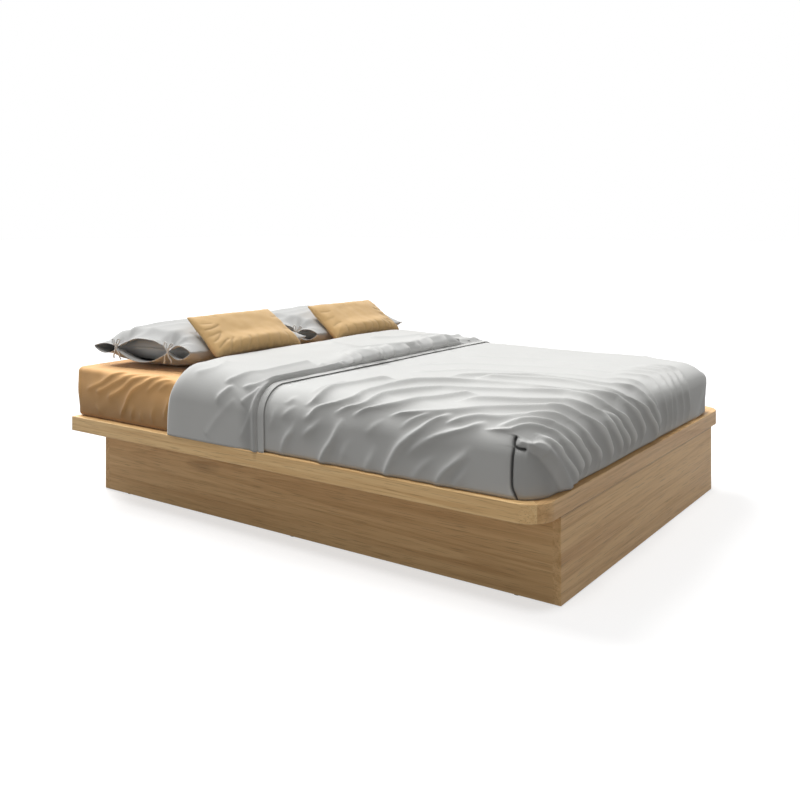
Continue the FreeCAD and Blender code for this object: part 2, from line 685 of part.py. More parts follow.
def puff_section(x, upper, lower, turn):
    """Closed section at x through the upper points and back through the lower ones."""
    top = [Vector(x, y, z) for y, z in upper]
    belly = [Vector(x, y, -z) for y, z in reversed(lower)]
    edges = [Part.Arc(*top[i:i + 3]).toShape() for i in (0, 2, 4)]
    edges.append(line(top[-1], belly[0]))
    edges += [Part.Arc(*belly[i:i + 3]).toShape() for i in (0, 2, 4)]
    edges.append(line(belly[-1], top[0]))
    wire = Part.Wire(edges)
    wire.rotate(Vector(x, 0, 0), UP, turn)
    return wire


def puff(length, width, rise, fall, draw_in, seam, crown_shares):
    """Sections of a stuffed form along X, whose sides are drawn in between its corners."""
    sections = []
    for station, crown in crown_shares:
        half = width / 2 - draw_in * (1 - station * station)
        swell = 2 * seam + crown * (rise - 2 * seam)
        sag = 2 * seam + crown * (fall - 2 * seam)
        upper = crown_points(half, swell, seam)
        sections.append(puff_section(station * length / 2, upper, crown_points(half, sag, seam), 0))
    return sections


def case_sections(wall):
    """Sections of a pillowcase from its mouth to its closed end, drawn in by a wall."""
    sections = puff(PILLOW_LENGTH - wall, PILLOW_WIDTH - 4 * wall, PILLOW_RISE - wall, PILLOW_FALL - wall,
                    PILLOW_DRAW_IN, PILLOW_SEAM - wall / 2, CASE_CROWN_SHARES)
    half = PILLOW_WIDTH / 2 - 2 * wall
    lips = mouth_points(half, MOUTH_RISE - wall, PILLOW_SEAM - wall / 2)
    lips = [(y, z - wall if i in (2, 4) else z) for i, (y, z) in enumerate(lips)]
    mouth = puff_section(-PILLOW_LENGTH / 2, lips, lips, MOUTH_TURN)
    if wall:
        return [mouth.translated(Vector(-OVERRUN, 0, 0)), mouth] + sections[1:]
    return [mouth] + sections[1:]


def pillowcase():
    outer = Part.makeLoft(case_sections(0), True, False)
    inner = Part.makeLoft(case_sections(CASE_THICKNESS), True, False)
    return outer.cut(inner).Solids[0]


def pillow_insert():
    wall = CASE_THICKNESS + SOFT_FIT
    room = INSERT_ROOM
    length = PILLOW_LENGTH - MOUTH_LIP - room
    sections = puff(length, PILLOW_WIDTH - 2 * room, PILLOW_RISE - 2 * wall, PILLOW_FALL - 2 * wall,
                    PILLOW_DRAW_IN, PILLOW_SEAM / 2, PUFF_CROWN_SHARES)
    pad = Part.makeLoft(sections, True, False)
    pad.translate(Vector((MOUTH_LIP - room) / 2, 0, 0))
    return pad


def bow(share):
    """Tied bow on the lips of the case: a knot, two loops and two tails of cord."""
    knot_spot = Vector(-TIE_KNOT_RADIUS - SOFT_FIT, 0, 0)
    shape = Part.makeSphere(TIE_KNOT_RADIUS, knot_spot)
    cord_line = Vector(-TIE_RADIUS - SOFT_FIT, 0, 0)
    for lean in (-TIE_LEAN, TIE_LEAN):
        tilt = FreeCAD.Rotation(Vector(1, 0, 0), lean)
        ring_spot = cord_line + tilt.multVec(UP * TIE_LOOP_RADIUS)
        loop = Part.makeTorus(TIE_LOOP_RADIUS - TIE_RADIUS, TIE_RADIUS, ring_spot, Vector(1, 0, 0))
        tail = Part.makeCylinder(TIE_RADIUS, TIE_TAIL_LENGTH, cord_line, tilt.multVec(DOWN))
        shape = shape.fuse([loop, tail])
    spot = Vector(0, share * PILLOW_WIDTH / 2, 0)
    spot = FreeCAD.Rotation(UP, MOUTH_TURN).multVec(spot)
    turned = shape.Solids[0]
    turned.Placement = FreeCAD.Placement(spot - Vector(PILLOW_LENGTH / 2, 0, 0), FreeCAD.Rotation(UP, MOUTH_TURN))
    return turned


def cushion():
    sections = puff(CUSHION_WIDTH, CUSHION_HEIGHT, CUSHION_RISE, CUSHION_RISE, CUSHION_DRAW_IN, CUSHION_SEAM,
                    PUFF_CROWN_SHARES)
    shape = Part.makeLoft(sections, True, False)
    shape.rotate(Vector(0, 0, 0), Vector(1, 0, 0), CUSHION_LEAN)
    return shape


def settled(shape, seats, direction):
    """Moves a soft piece along a direction until it lies just clear of what carries it."""
    for _ in range(SETTLE_STEPS):
        gap = min(shape.distToShape(seat)[0] for seat in seats) - SOFT_FIT
        if gap < TOUCH:
            break
        shape = shape.translated(direction * gap)
    return shape


def build_bedding():
    nodes["mattress"] = mattress_block(SHEET_THICKNESS + SOFT_FIT)
    nodes["fitted_sheet"] = fitted_sheet()
    nodes["duvet"] = duvet()
    case = pillowcase()
    pad = pillow_insert()
    pad = settled(pad, [case], DOWN)
    bows = [bow(share) for share in TIE_SHARES]
    pillow_x = mattress_left + PILLOW_SIDE_MARGIN + PILLOW_LENGTH / 2
    pillow_y = mattress_head - PILLOW_HEAD_MARGIN - PILLOW_WIDTH / 2
    pillow_spot = Vector(pillow_x, pillow_y, mattress_top + PILLOW_FALL + SOFT_FIT)
    lean = math.radians(CUSHION_LEAN)
    away = Vector(0, -math.sin(lean), math.cos(lean))
    start = Vector(mattress_left + PILLOW_SIDE_MARGIN + CUSHION_INSET + CUSHION_WIDTH / 2, 0, 0)
    start.y = band_head + CUSHION_BACK_GAP + CUSHION_HEIGHT / 2 * math.cos(lean)
    start.z = mattress_top + DUVET_THICKNESS + CUSHION_HEIGHT / 2 * math.sin(lean)
    first_case = case.translated(pillow_spot)
    leaning = cushion().translated(start + away * (PILLOW_RISE + PILLOW_FALL))
    leaning = settled(leaning, [first_case, nodes["duvet"]], away * -1)
    for step, hand in enumerate(("left", "right")):
        shift = Vector(step * (PILLOW_LENGTH + PILLOW_GAP), 0, 0)
        nodes["pillow_insert_" + hand] = pad.translated(pillow_spot + shift)
        nodes["pillowcase_" + hand] = case.translated(pillow_spot + shift)
        nodes["pillow_ties_" + hand] = Part.makeCompound([tie.translated(pillow_spot + shift) for tie in bows])
        nodes["cushion_" + hand] = leaning.translated(shift)


build_frame()
build_bedding()
os.makedirs("parts", exist_ok=True)
for name, shape in nodes.items():
    shape.exportStep("parts/" + name + ".step")
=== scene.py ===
import math

import bpy
import numpy as np
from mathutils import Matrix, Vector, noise


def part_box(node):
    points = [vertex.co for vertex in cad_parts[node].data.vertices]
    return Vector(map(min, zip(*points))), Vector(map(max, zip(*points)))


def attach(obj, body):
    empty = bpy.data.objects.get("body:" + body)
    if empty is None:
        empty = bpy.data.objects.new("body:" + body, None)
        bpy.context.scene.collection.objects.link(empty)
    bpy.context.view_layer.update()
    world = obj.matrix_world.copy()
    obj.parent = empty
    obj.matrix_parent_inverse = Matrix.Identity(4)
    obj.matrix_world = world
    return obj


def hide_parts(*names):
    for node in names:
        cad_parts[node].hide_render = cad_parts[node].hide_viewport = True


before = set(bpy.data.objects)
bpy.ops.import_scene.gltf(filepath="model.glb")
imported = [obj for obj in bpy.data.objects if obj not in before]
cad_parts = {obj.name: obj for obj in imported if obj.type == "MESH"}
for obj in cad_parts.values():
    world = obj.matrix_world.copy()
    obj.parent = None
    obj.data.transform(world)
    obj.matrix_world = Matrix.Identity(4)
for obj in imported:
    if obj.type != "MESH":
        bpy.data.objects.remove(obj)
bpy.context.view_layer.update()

# Border and plinth: planed oak boards over plain oak panels, mitred and rounded at the foot.
# They are sanded, oiled to a satin sheen and screwed together from inside, and the grain runs
# along each board. The border's side boards are painted paler and its end boards darker: painted
# light and painted shade on one oak.
OAK_PALE = (0.86, 0.565, 0.275, 1)
OAK_DEEP = (0.62, 0.36, 0.155, 1)
OAK_PORE = (0.30, 0.17, 0.08, 1)
# The border's colours: paler on the side boards and darker on the end boards, painted light and painted
# shade on one oak.
BORDER_SIDE_LIT_PALE = (0.93, 0.64, 0.315, 1)
BORDER_SIDE_LIT_DEEP = (0.71, 0.425, 0.178, 1)
BORDER_END_SHADED_PALE = (0.81, 0.52, 0.245, 1)
BORDER_END_SHADED_DEEP = (0.58, 0.33, 0.14, 1)
BORDER_SIDES = ("platform_side_rail_left", "platform_side_rail_right")
BORDER_ENDS = ("platform_foot_rail", "platform_head_rail")
PLINTH_SIDES = ("plinth_side_panel_left", "plinth_side_panel_right")
PLINTH_ENDS = ("plinth_foot_panel", "plinth_head_panel")
BORDER_ROUGHNESS = 0.38
PLINTH_ROUGHNESS = 0.42
# Painted shadow on the plinth just under the border's overhang: heights in metres, each with how dark it is.
BORDER_SHADOW_TONES = ((0.244, 0.0), (0.2485, 1.0))
BORDER_SHADOW_DARK = 0.8
# Grain: cells in each metre along a board and across it, and values with the tone at each.
RING_GRAIN = (0.2, 5.5)
RING_WARP = 0.2
RING_COUNT = 15
RING_TONES = ((0.0, 0.15), (0.55, 0.5), (0.9, 1.0), (1.0, 0.2))
FIBRE_GRAIN = (3.0, 150.0)
STREAK_GRAIN = (1.2, 42.0)
PORE_GRAIN = (11.0, 420.0)
PORE_TONES = ((0.58, 0.0), (0.7, 1.0))
KNOT_GRAIN = (1.1, 3.4)
KNOT_TONES = ((0.035, 1.0), (0.11, 0.0))
RING_SHARE = 0.55
FIBRE_SHARE = 1.3
STREAK_SHARE = 1.7
TONE_SHIFT = 1.405
PORE_STAIN = 0.4
KNOT_STAIN = 0.35
FIBRE_ROUGHNESS = 0.18
OIL_SHEEN = 0.28
FIBRE_RELIEF = 0.6
PORE_RELIEF = 0.8
GRAIN_BUMP = 0.25
GRAIN_DEPTH = 0.0006


class Wire:
    """An output of a node tree that takes part in sums, each of which adds a Math node."""

    def __init__(self, finish, output):
        self.finish = finish
        self.output = output

    def math(self, operation, first, second=0.0):
        return self.finish.node("ShaderNodeMath", {"operation": operation}, {0: first, 1: second})

    def __add__(self, other):
        return self.math("ADD", self, other)

    def __sub__(self, other):
        return self.math("SUBTRACT", self, other)

    def __mul__(self, other):
        return self.math("MULTIPLY", self, other)


class Finish:
    """A material, or the world, whose nodes are added one by one."""

    def __init__(self, owner):
        owner.use_nodes = True
        self.owner = owner
        self.tree = owner.node_tree

    def node(self, kind, settings=None, sockets=None, out=0):
        made = self.tree.nodes.new(kind)
        for key, value in (settings or {}).items():
            if key == "stops":
                ramp = made.color_ramp.elements
                while len(ramp) < len(value):
                    ramp.new(1)
                for element, (position, shade) in zip(ramp, value):
                    element.position = position
                    element.color = (shade, shade, shade, 1)
            else:
                setattr(made, key, value)
        self.feed(made, sockets or {})
        return Wire(self, made.outputs[out])

    def feed(self, node, sockets):
        for key, value in sockets.items():
            if isinstance(value, Wire):
                self.tree.links.new(value.output, node.inputs[key])
            else:
                node.inputs[key].default_value = value

    def surface(self, **sockets):
        named = {key.replace("_", " "): value for key, value in sockets.items()}
        self.feed(self.tree.nodes["Principled BSDF"], named)

    def here(self, scale=(1, 1, 1)):
        """Place on the object, scaled for a pattern."""
        place = self.node("ShaderNodeTexCoord", out="Object")
        return self.node("ShaderNodeMapping", {}, {"Vector": place, "Scale": scale})

    def noise(self, place, scale, detail=2.0, distortion=0.0):
        sockets = {"Vector": place, "Scale": scale, "Detail": detail, "Distortion": distortion}
        return self.node("ShaderNodeTexNoise", {}, sockets)

    def mixed(self, share, first, second):
        return self.node("ShaderNodeMix", {"data_type": "RGBA"}, {0: share, 6: first, 7: second}, out=2)

    def ramp(self, value, *stops):
        return self.node("ShaderNodeValToRGB", {"stops": stops}, {0: value})

    def bump(self, height, strength, distance):
        sockets = {"Height": height, "Strength": strength, "Distance": distance}
        return self.node("ShaderNodeBump", {}, sockets)


def along(axis, lengthwise, across):
    """Scale of a grain that is drawn out along one axis."""
    return tuple(lengthwise if axis == name else across for name in "XYZ")


def timber(name, axis, pale, deep, pore, roughness, border_shadow=0.0):
    """Wood with rings, streaks, pores and small knots along an axis, and a painted shadow under the border.
    """
    wood = Finish(bpy.data.materials.new(name))
    figure = wood.noise(wood.here(along(axis, *RING_GRAIN)), 1.0, detail=2.0, distortion=RING_WARP)
    ring_place = wood.node("ShaderNodeMath", {"operation": "FRACT"}, {0: figure * RING_COUNT})
    rings = wood.ramp(ring_place, *RING_TONES)
    fibres = wood.noise(wood.here(along(axis, *FIBRE_GRAIN)), 1.0, detail=3.0)
    pores = wood.ramp(wood.noise(wood.here(along(axis, *PORE_GRAIN)), 1.0, detail=1.0), *PORE_TONES)
    streaks = wood.noise(wood.here(along(axis, *STREAK_GRAIN)), 1.0, detail=2.0)
    knot_place = wood.here(along(axis, *KNOT_GRAIN))
    knot_cells = wood.node("ShaderNodeTexVoronoi", {}, {"Vector": knot_place, "Scale": 1.0})
    knots = wood.ramp(knot_cells, *KNOT_TONES)
    tone = rings * RING_SHARE + fibres * FIBRE_SHARE + streaks * STREAK_SHARE - TONE_SHIFT
    plain = wood.mixed(tone, pale, deep)
    # Painted shadow: the plinth's top darkens under the border's overhang, mixed in with the stain of the
    # pores and knots.
    height = wood.node("ShaderNodeSeparateXYZ", {}, {0: wood.here()}, out="Z")
    gap = wood.ramp(height, *BORDER_SHADOW_TONES)
    marked = wood.mixed(pores * PORE_STAIN + knots * KNOT_STAIN + gap * border_shadow, plain, pore)
    relief = fibres * FIBRE_RELIEF - pores * PORE_RELIEF
    wood.surface(Base_Color=marked, Roughness=fibres * FIBRE_ROUGHNESS + roughness,
                 Specular_IOR_Level=OIL_SHEEN, Normal=wood.bump(relief, GRAIN_BUMP, GRAIN_DEPTH))
    return wood.owner


def dress(names, material):
    """Gives named CAD pieces a material."""
    for name in names:
        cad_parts[name].data.materials[0] = material


# Painted light on the border's side boards and painted shade on its end boards; the plinth keeps one oak.
lit_border_side = timber("oak_border_side_painted_light", "Y", BORDER_SIDE_LIT_PALE, BORDER_SIDE_LIT_DEEP, OAK_PORE, BORDER_ROUGHNESS)
shaded_border_end = timber("oak_border_end_painted_shade", "X", BORDER_END_SHADED_PALE, BORDER_END_SHADED_DEEP, OAK_PORE, BORDER_ROUGHNESS)
plinth_side = timber("oak_plinth_side", "Y", OAK_PALE, OAK_DEEP, OAK_PORE, PLINTH_ROUGHNESS, BORDER_SHADOW_DARK)
plinth_end = timber("oak_plinth_end", "X", OAK_PALE, OAK_DEEP, OAK_PORE, PLINTH_ROUGHNESS, BORDER_SHADOW_DARK)
dress(BORDER_SIDES, lit_border_side)
dress(BORDER_ENDS, shaded_border_end)
dress(PLINTH_SIDES, plinth_side)
dress(PLINTH_ENDS, plinth_end)

# Deck and inner frame: planed, unfinished pine. The slats lie in the rebate of the side boards,
# the beam hangs in steel stirrups, and battens and blocks hold the border and the panels together.
PINE_PALE = (0.74, 0.55, 0.33, 1)
PINE_DEEP = (0.62, 0.42, 0.21, 1)
PINE_KNOT = (0.33, 0.18, 0.08, 1)
PINE_ROUGHNESS = 0.55
SLATS = tuple(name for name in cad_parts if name.startswith("slat_") and name != "slat_screws")
CROSS_BOARDS = ("cross_bearer_foot", "cross_bearer_head", "rail_batten_foot", "rail_batten_head")
LONG_BOARDS = ("centre_beam", "rail_batten_left", "rail_batten_right")
UPRIGHTS = tuple(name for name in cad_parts
                 if name.startswith("corner_block_") and "screws" not in name)
dress(SLATS + CROSS_BOARDS, timber("pine_across", "X", PINE_PALE, PINE_DEEP, PINE_KNOT, PINE_ROUGHNESS))
dress(LONG_BOARDS, timber("pine_along", "Y", PINE_PALE, PINE_DEEP, PINE_KNOT, PINE_ROUGHNESS))
dress(UPRIGHTS, timber("pine_upright", "Z", PINE_PALE, PINE_DEEP, PINE_KNOT, PINE_ROUGHNESS))

# Joinery: beech tongues in the mitres, and fluted beech dowels in the head joints and the plinth.
# All are glued in and out of sight.
BEECH_PALE = (0.68, 0.48, 0.31, 1)
BEECH_DEEP = (0.58, 0.38, 0.23, 1)
BEECH_FLECK = (0.42, 0.25, 0.14, 1)
BEECH_ROUGHNESS = 0.6
PEGS = ("mitre_tongues", "rail_dowels", "plinth_dowels")
dress(PEGS, timber("beech_pegs", "X", BEECH_PALE, BEECH_DEEP, BEECH_FLECK, BEECH_ROUGHNESS))

# Screws and beam hangers: zinc-plated steel with a faint spangle. The hangers are pressed from
# sheet, and the screws are turned.
ZINC = (0.56, 0.57, 0.58, 1)
ZINC_DULL = (0.42, 0.43, 0.45, 1)
ZINC_ROUGHNESS = 0.22
SPANGLE_SCALE = 140.0
SPANGLE_ROUGHNESS = 0.3
STEEL = tuple(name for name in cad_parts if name.endswith("screws") or name.startswith("beam_hanger"))
zinc = Finish(bpy.data.materials.new("zinc_steel"))
spangle = zinc.noise(zinc.here(), SPANGLE_SCALE, detail=2.0)
zinc.surface(Base_Color=zinc.mixed(spangle, ZINC, ZINC_DULL), Metallic=1.0,
             Roughness=spangle * SPANGLE_ROUGHNESS + ZINC_ROUGHNESS)
dress(STEEL, zinc.owner)

# Glides: small discs of black plastic nailed under the panels, with a fine moulded grain. They keep
# the oak off the floor and scuff as they slide.
GLIDE_BLACK = (0.035, 0.034, 0.033, 1)
GLIDE_WORN = (0.075, 0.073, 0.07, 1)
GLIDE_ROUGHNESS = 0.42
SCUFF_SCALE = 60.0
SCUFF_ROUGHNESS = 0.25
MOULDING_SCALE = 900.0
MOULDING_BUMP = 0.2
MOULDING_DEPTH = 0.0003
nylon = Finish(bpy.data.materials.new("glide_plastic"))
scuffs = nylon.noise(nylon.here(), SCUFF_SCALE, detail=3.0)
moulding = nylon.noise(nylon.here(), MOULDING_SCALE, detail=1.0)
nylon.surface(Base_Color=nylon.mixed(scuffs, GLIDE_BLACK, GLIDE_WORN),
              Roughness=scuffs * SCUFF_ROUGHNESS + GLIDE_ROUGHNESS,
              Normal=nylon.bump(moulding, MOULDING_BUMP, MOULDING_DEPTH))
dress(("floor_glides",), nylon.owner)

# Mattress: a foam block in knitted ticking, quilted above and below. It lies loose on the slats,
# inside the border, and is hidden by its sheet.
TICKING_PALE = (0.78, 0.76, 0.71, 1)
TICKING_SHADE = (0.62, 0.60, 0.56, 1)
MATTRESS_STEP = 0.018
MATTRESS_HEAD_CORNER = 0.0245
MATTRESS_FOOT_CORNER = 0.083
MATTRESS_EDGE = 0.0165
MATTRESS_SOFT_EDGE = 0.0485
SOFT_EDGE_FROM = 0.44
SOFT_EDGE_TO = 0.34
FOOT_SOFTER = 0.026
FOOT_SOFT_FROM = -0.93
FOOT_SOFT_TO = -0.60
QUILT_PITCH = 0.19
QUILT_DEPTH = 0.004
# How dark the painted shade goes and how pale the painted highlight goes, on every cloth.
PAINTED_SHADE_DARK = 0.12
PAINTED_HIGHLIGHT_PALE = 1.6
ALL_WALLS = ("top", "under", "near", "far", "foot", "head")
SEED_STRIDE = np.array((17.3, 9.1, 5.7))
# Cloth: cells in each metre, and the shares of wash, yarn and thread in its tone and relief.
YARN_SCALE = 900.0
WASH_SCALE = 6.0
WASH_SHARE = 0.6
YARN_SHARE = 0.5
THREAD_SHARE = 0.06
CLOTH_SHIFT = 0.25
YARN_ROUGHNESS = 0.12
NAP_ROUGHNESS = 0.5
THREAD_RELIEF = 0.35
WEAVE_BUMP = 0.12
WEAVE_DEPTH = 0.0004


def lines(start, end, step):
    """Evenly spaced values from start to end, about a step apart."""
    return np.linspace(start, end, max(2, int(round((end - start) / step)) + 1))


def box_walls(xs, ys, zs, walls):
    """Grid points on the named walls of a box and the four-sided faces between them, facing outwards."""
    places = {"top": (2, -1), "under": (2, 0), "near": (0, 0), "far": (0, -1), "foot": (1, 0),
              "head": (1, -1)}
    turned = ("under", "near", "head")
    axes = (xs, ys, zs)
    corners = []
    for wall in walls:
        fixed, end = places[wall]
        first, second = [axis for axis in range(3) if axis != fixed]
        counts = (len(axes[first]), len(axes[second]))
        index = np.zeros(counts + (3,), int)
        index[..., first], index[..., second] = np.indices(counts)
        index[..., fixed] = (len(axes[fixed]) - 1) * (end == -1)
        quads = np.stack((index[:-1, :-1], index[1:, :-1], index[1:, 1:], index[:-1, 1:]), axis=2)
        quads = quads.reshape(-1, 4, 3)
        corners.append(quads[:, ::-1] if wall in turned else quads)
    flat = np.concatenate(corners).reshape(-1, 3)
    keys, faces = np.unique(flat, axis=0, return_inverse=True)
    points = np.stack([axes[axis][keys[:, axis]] for axis in range(3)], axis=1)
    return points, faces.reshape(-1, 4)


def rounded(points, low, high, head_corner, foot_corner, edge):
    """Moves points on a box to the same box with round upright corners and edges, and gives the normals."""
    edge = np.broadcast_to(edge, len(points))[:, None]
    corner = np.where(points[:, 1] > 0, head_corner, foot_corner)[:, None]
    core = np.clip(points[:, :2], np.array(low[:2]) + corner, np.array(high[:2]) - corner)
    out = points[:, :2] - core
    reach = np.linalg.norm(out, axis=1, keepdims=True)
    core = core + out * np.minimum(1, (corner - edge) / np.maximum(reach, 1e-9))
    height = np.clip(points[:, 2:], low[2] + edge, high[2] - edge)
    seat = np.column_stack((core, height))
    normals = points - seat
    normals /= np.linalg.norm(normals, axis=1, keepdims=True)
    return seat + normals * edge, normals


def waver(points, size, seed):
    """Smooth random values from -1 to 1 that change over about the given size."""
    moved = points / np.array(size) + seed * SEED_STRIDE
    return np.array([noise.noise(spot) for spot in moved.tolist()])


def ease(value, start, end):
    """0 before start, 1 after end and a smooth change between them."""
    share = np.clip((value - start) / (end - start), 0, 1)
    return share * share * (3 - 2 * share)


def softer(y, bare, covered):
    """Radius of the mattress's edges, which the weight of the duvet rounds from the pillows down."""
    tucked = FOOT_SOFTER * (1 - ease(y, FOOT_SOFT_FROM, FOOT_SOFT_TO))
    return covered + tucked + (bare - covered) * ease(y, SOFT_EDGE_TO, SOFT_EDGE_FROM)


def tinted(thing, name, values):
    """Keeps a value of painted shade or painted highlight at each point of a mesh for its material."""
    thing.data.attributes.new(name, "FLOAT", "POINT").data.foreach_set("value", values)


def standing(name, data):
    """A new object in the scene, not moved from the origin."""
    made = bpy.data.objects.new(name, data)
    bpy.context.scene.collection.objects.link(made)
    return made


def piece(name, points, faces, material):
    """A smooth-shaded mesh object in the frame of the bed."""
    mesh = bpy.data.meshes.new(name)
    mesh.from_pydata(points.tolist(), [], [list(face) for face in faces])
    mesh.polygons.foreach_set("use_smooth", np.ones(len(mesh.polygons), bool))
    mesh.materials.append(material)
    return standing(name, mesh)


def cloth(name, pale, shade, thread, roughness, nap):
    """Plain-woven cloth: crossing threads, uneven yarn and a nap, with painted shade and a painted highlight
    set at each point.
    """
    woven = Finish(bpy.data.materials.new(name))
    place = woven.here((1 / thread, 1 / thread, 1 / thread))
    parts = woven.node("ShaderNodeSeparateXYZ", {}, {0: place})
    across = [Wire(woven, parts.output.node.outputs[axis]) for axis in range(3)]
    waves = [woven.node("ShaderNodeMath", {"operation": "SINE"}, {0: value}) for value in across]
    threads = waves[0] * waves[1] + waves[1] * waves[2] + waves[2] * waves[0]
    yarn = woven.noise(woven.here(), YARN_SCALE, detail=2.0)
    wash = woven.noise(woven.here(), WASH_SCALE, detail=3.0)
    tone = wash * WASH_SHARE + yarn * YARN_SHARE + threads * THREAD_SHARE - CLOTH_SHIFT
    # Painted shade and painted highlight: two values kept at each point darken the colour where shade would
    # fall and pale it where light would catch a ridge.
    deep = woven.node("ShaderNodeAttribute", {"attribute_name": "crease"}, {}, "Fac")
    painted_shade_colour = [value * PAINTED_SHADE_DARK for value in shade[:3]] + [1]
    painted_highlight = woven.node("ShaderNodeAttribute", {"attribute_name": "crest"}, {}, "Fac")
    painted_highlight_colour = [value * min(PAINTED_HIGHLIGHT_PALE, 1 / max(pale[:3])) for value in pale[:3]] + [1]
    plain = woven.mixed(painted_highlight, woven.mixed(tone, pale, shade), painted_highlight_colour)
    woven.surface(Base_Color=woven.mixed(deep, plain, painted_shade_colour), Roughness=yarn * YARN_ROUGHNESS + roughness,
                  Sheen_Weight=nap, Sheen_Roughness=NAP_ROUGHNESS,
                  Normal=woven.bump(threads * THREAD_RELIEF + yarn, WEAVE_BUMP, WEAVE_DEPTH))
    return woven.owner


mattress_low, mattress_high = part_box("mattress")
mattress_grid = [lines(mattress_low[i], mattress_high[i], MATTRESS_STEP) for i in range(3)]
mattress_points, mattress_faces = box_walls(*mattress_grid, ALL_WALLS)
mattress_edge = softer(mattress_points[:, 1], MATTRESS_EDGE, MATTRESS_SOFT_EDGE)
mattress_points, mattress_out = rounded(mattress_points, mattress_low, mattress_high, MATTRESS_HEAD_CORNER,
                                        MATTRESS_FOOT_CORNER, mattress_edge)
slants = [mattress_points[:, 0] + side * mattress_points[:, 1] for side in (1, -1)]
diamonds = [np.sin(math.pi / QUILT_PITCH * slant) for slant in slants]
seam_depth = (1 - np.minimum(*np.abs(diamonds))) ** 3 * QUILT_DEPTH
mattress_points -= mattress_out * (seam_depth * np.abs(mattress_out[:, 2]))[:, None]
ticking = cloth("mattress_ticking", TICKING_PALE, TICKING_SHADE, thread=0.0016, roughness=0.8, nap=0.1)
mattress = piece("mattress_foam", mattress_points, mattress_faces, ticking)
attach(mattress, "mattress")
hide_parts("mattress")

# Fitted sheet: one layer of ochre cotton, sewn at the corners and drawn under the mattress by an
# elastic hem. It is tight on top and creases in slanting arcs down the sides, beside the pillows.
OCHRE_PALE = (0.86, 0.49, 0.19, 1)
OCHRE_SHADE = (0.74, 0.405, 0.15, 1)
SHEET_HEM = 0.14
SHEET_STEP = 0.005
SHEET_HEAD_CORNER = 0.018
SHEET_FOOT_CORNER = 0.085
SHEET_EDGE = 0.018
SHEET_SOFT_EDGE = 0.050
SHEET_BARE_FROM = 0.43
SHEET_HEAD_BULGE = 0.009
SHEET_BULGE_HEIGHT = 0.1
SHEET_RIM = 0.1
HAIR = 1e-6
SHEET_TOP_STEP = 0.012
SHEET_COVERED_TO = 0.39
SHEET_COVERED_STEP = 0.014
SHEET_FINE_FROM = 0.395
SHEET_SLACK = 0.0020
SHEET_SLACK_SIZE = 0.05
SHEET_SLACK_SEED = 3
SHEET_PAINTED_SHADE_HEIGHT = 0.15
SHEET_SKIN = 0.0004
SHEET_BARE_BEFORE = 0.02
SHEET_BARE_AFTER = 0.04
SHEET_TAUT = 0.004
SHEET_LOOSE = 0.03
# A fold: its section, how it fades and swells along its course, and how folds that meet add up.
FOLD_REACH = 0.15
FOLD_FADE = 0.09
FOLD_SPAN = 0.25
FOLD_CORE = 0.78
FOLD_SKIRT = 0.22
SKIRT_STEEP = 2.5
SKIRT_GENTLE = 3
FOLD_SWELL = 0.25
FOLD_SWELL_LENGTH = 0.15
FOLD_SEED_SPREAD = 10
WANDER_STEPS = 6
WANDER_STRIDE = 3.7
FOLD_CROWDING = 3
# The sheet's creases, the painted shade that darkens its sides towards the bottom and the painted highlight
# on its crests.
CREASE_HEIGHT = 0.0085
SHEET_PAINTED_SHADE = 0.68
SHEET_PAINTED_HIGHLIGHT = 0.8
CREASE_STEEP = 0.0040
CREASE_GENTLE = 0.010
CREASE_FADE = 0.045
PAINTED_HIGHLIGHT_PART = (0.35, 0.9)
# Each crease has its strength and its course: down the side, below 0 on the top, and along the bed.
CREASES = (
    (0.8, ((0.090, 0.965), (0.076, 0.936), (0.060, 0.893), (0.045, 0.856), (0.028, 0.825), (0.012, 0.795),
           (-0.003, 0.754), (-0.020, 0.700))),
    (0.9, ((0.095, 0.910), (0.081, 0.874), (0.061, 0.825), (0.041, 0.783), (0.024, 0.742), (0.007, 0.701),
           (-0.011, 0.649), (-0.028, 0.590))),
    (1.0, ((0.105, 0.840), (0.093, 0.807), (0.075, 0.766), (0.055, 0.730), (0.033, 0.701), (0.017, 0.672),
           (0.004, 0.627), (-0.008, 0.582), (-0.022, 0.530))),
    (1.1, ((0.175, 0.757), (0.158, 0.745), (0.138, 0.730), (0.109, 0.713), (0.090, 0.704), (0.065, 0.684),
           (0.043, 0.649), (0.024, 0.604), (0.003, 0.565), (-0.013, 0.527), (-0.030, 0.480))),
    (0.8, ((0.066, 0.610), (0.052, 0.593), (0.037, 0.571), (0.021, 0.543), (0.005, 0.505), (-0.009, 0.451))),
    (0.6, ((0.055, 0.545), (0.041, 0.527), (0.028, 0.505), (0.017, 0.483), (0.009, 0.451))),
    (0.8, ((0.160, 0.510), (0.140, 0.502), (0.117, 0.494), (0.091, 0.483), (0.072, 0.475), (0.050, 0.462))),
    (0.8, ((0.185, 0.690), (0.169, 0.684), (0.139, 0.678), (0.108, 0.666))),
    (0.6, ((0.185, 0.621), (0.165, 0.624), (0.148, 0.632), (0.118, 0.627))),
    (0.7, ((0.185, 0.559), (0.155, 0.562), (0.137, 0.565), (0.099, 0.554))),
    (0.6, ((0.130, 0.910), (0.145, 0.893), (0.162, 0.874), (0.180, 0.850))),
)
ochre = cloth("ochre_cotton", OCHRE_PALE, OCHRE_SHADE, thread=0.0011, roughness=0.78, nap=0.25)


def crest(away, steep, gentle):
    """A fold's section: 1 on its crest, falling off at a steep side and a gentle one."""
    return 1 / (1 + (away / np.where(away < 0, steep, gentle)) ** 2)


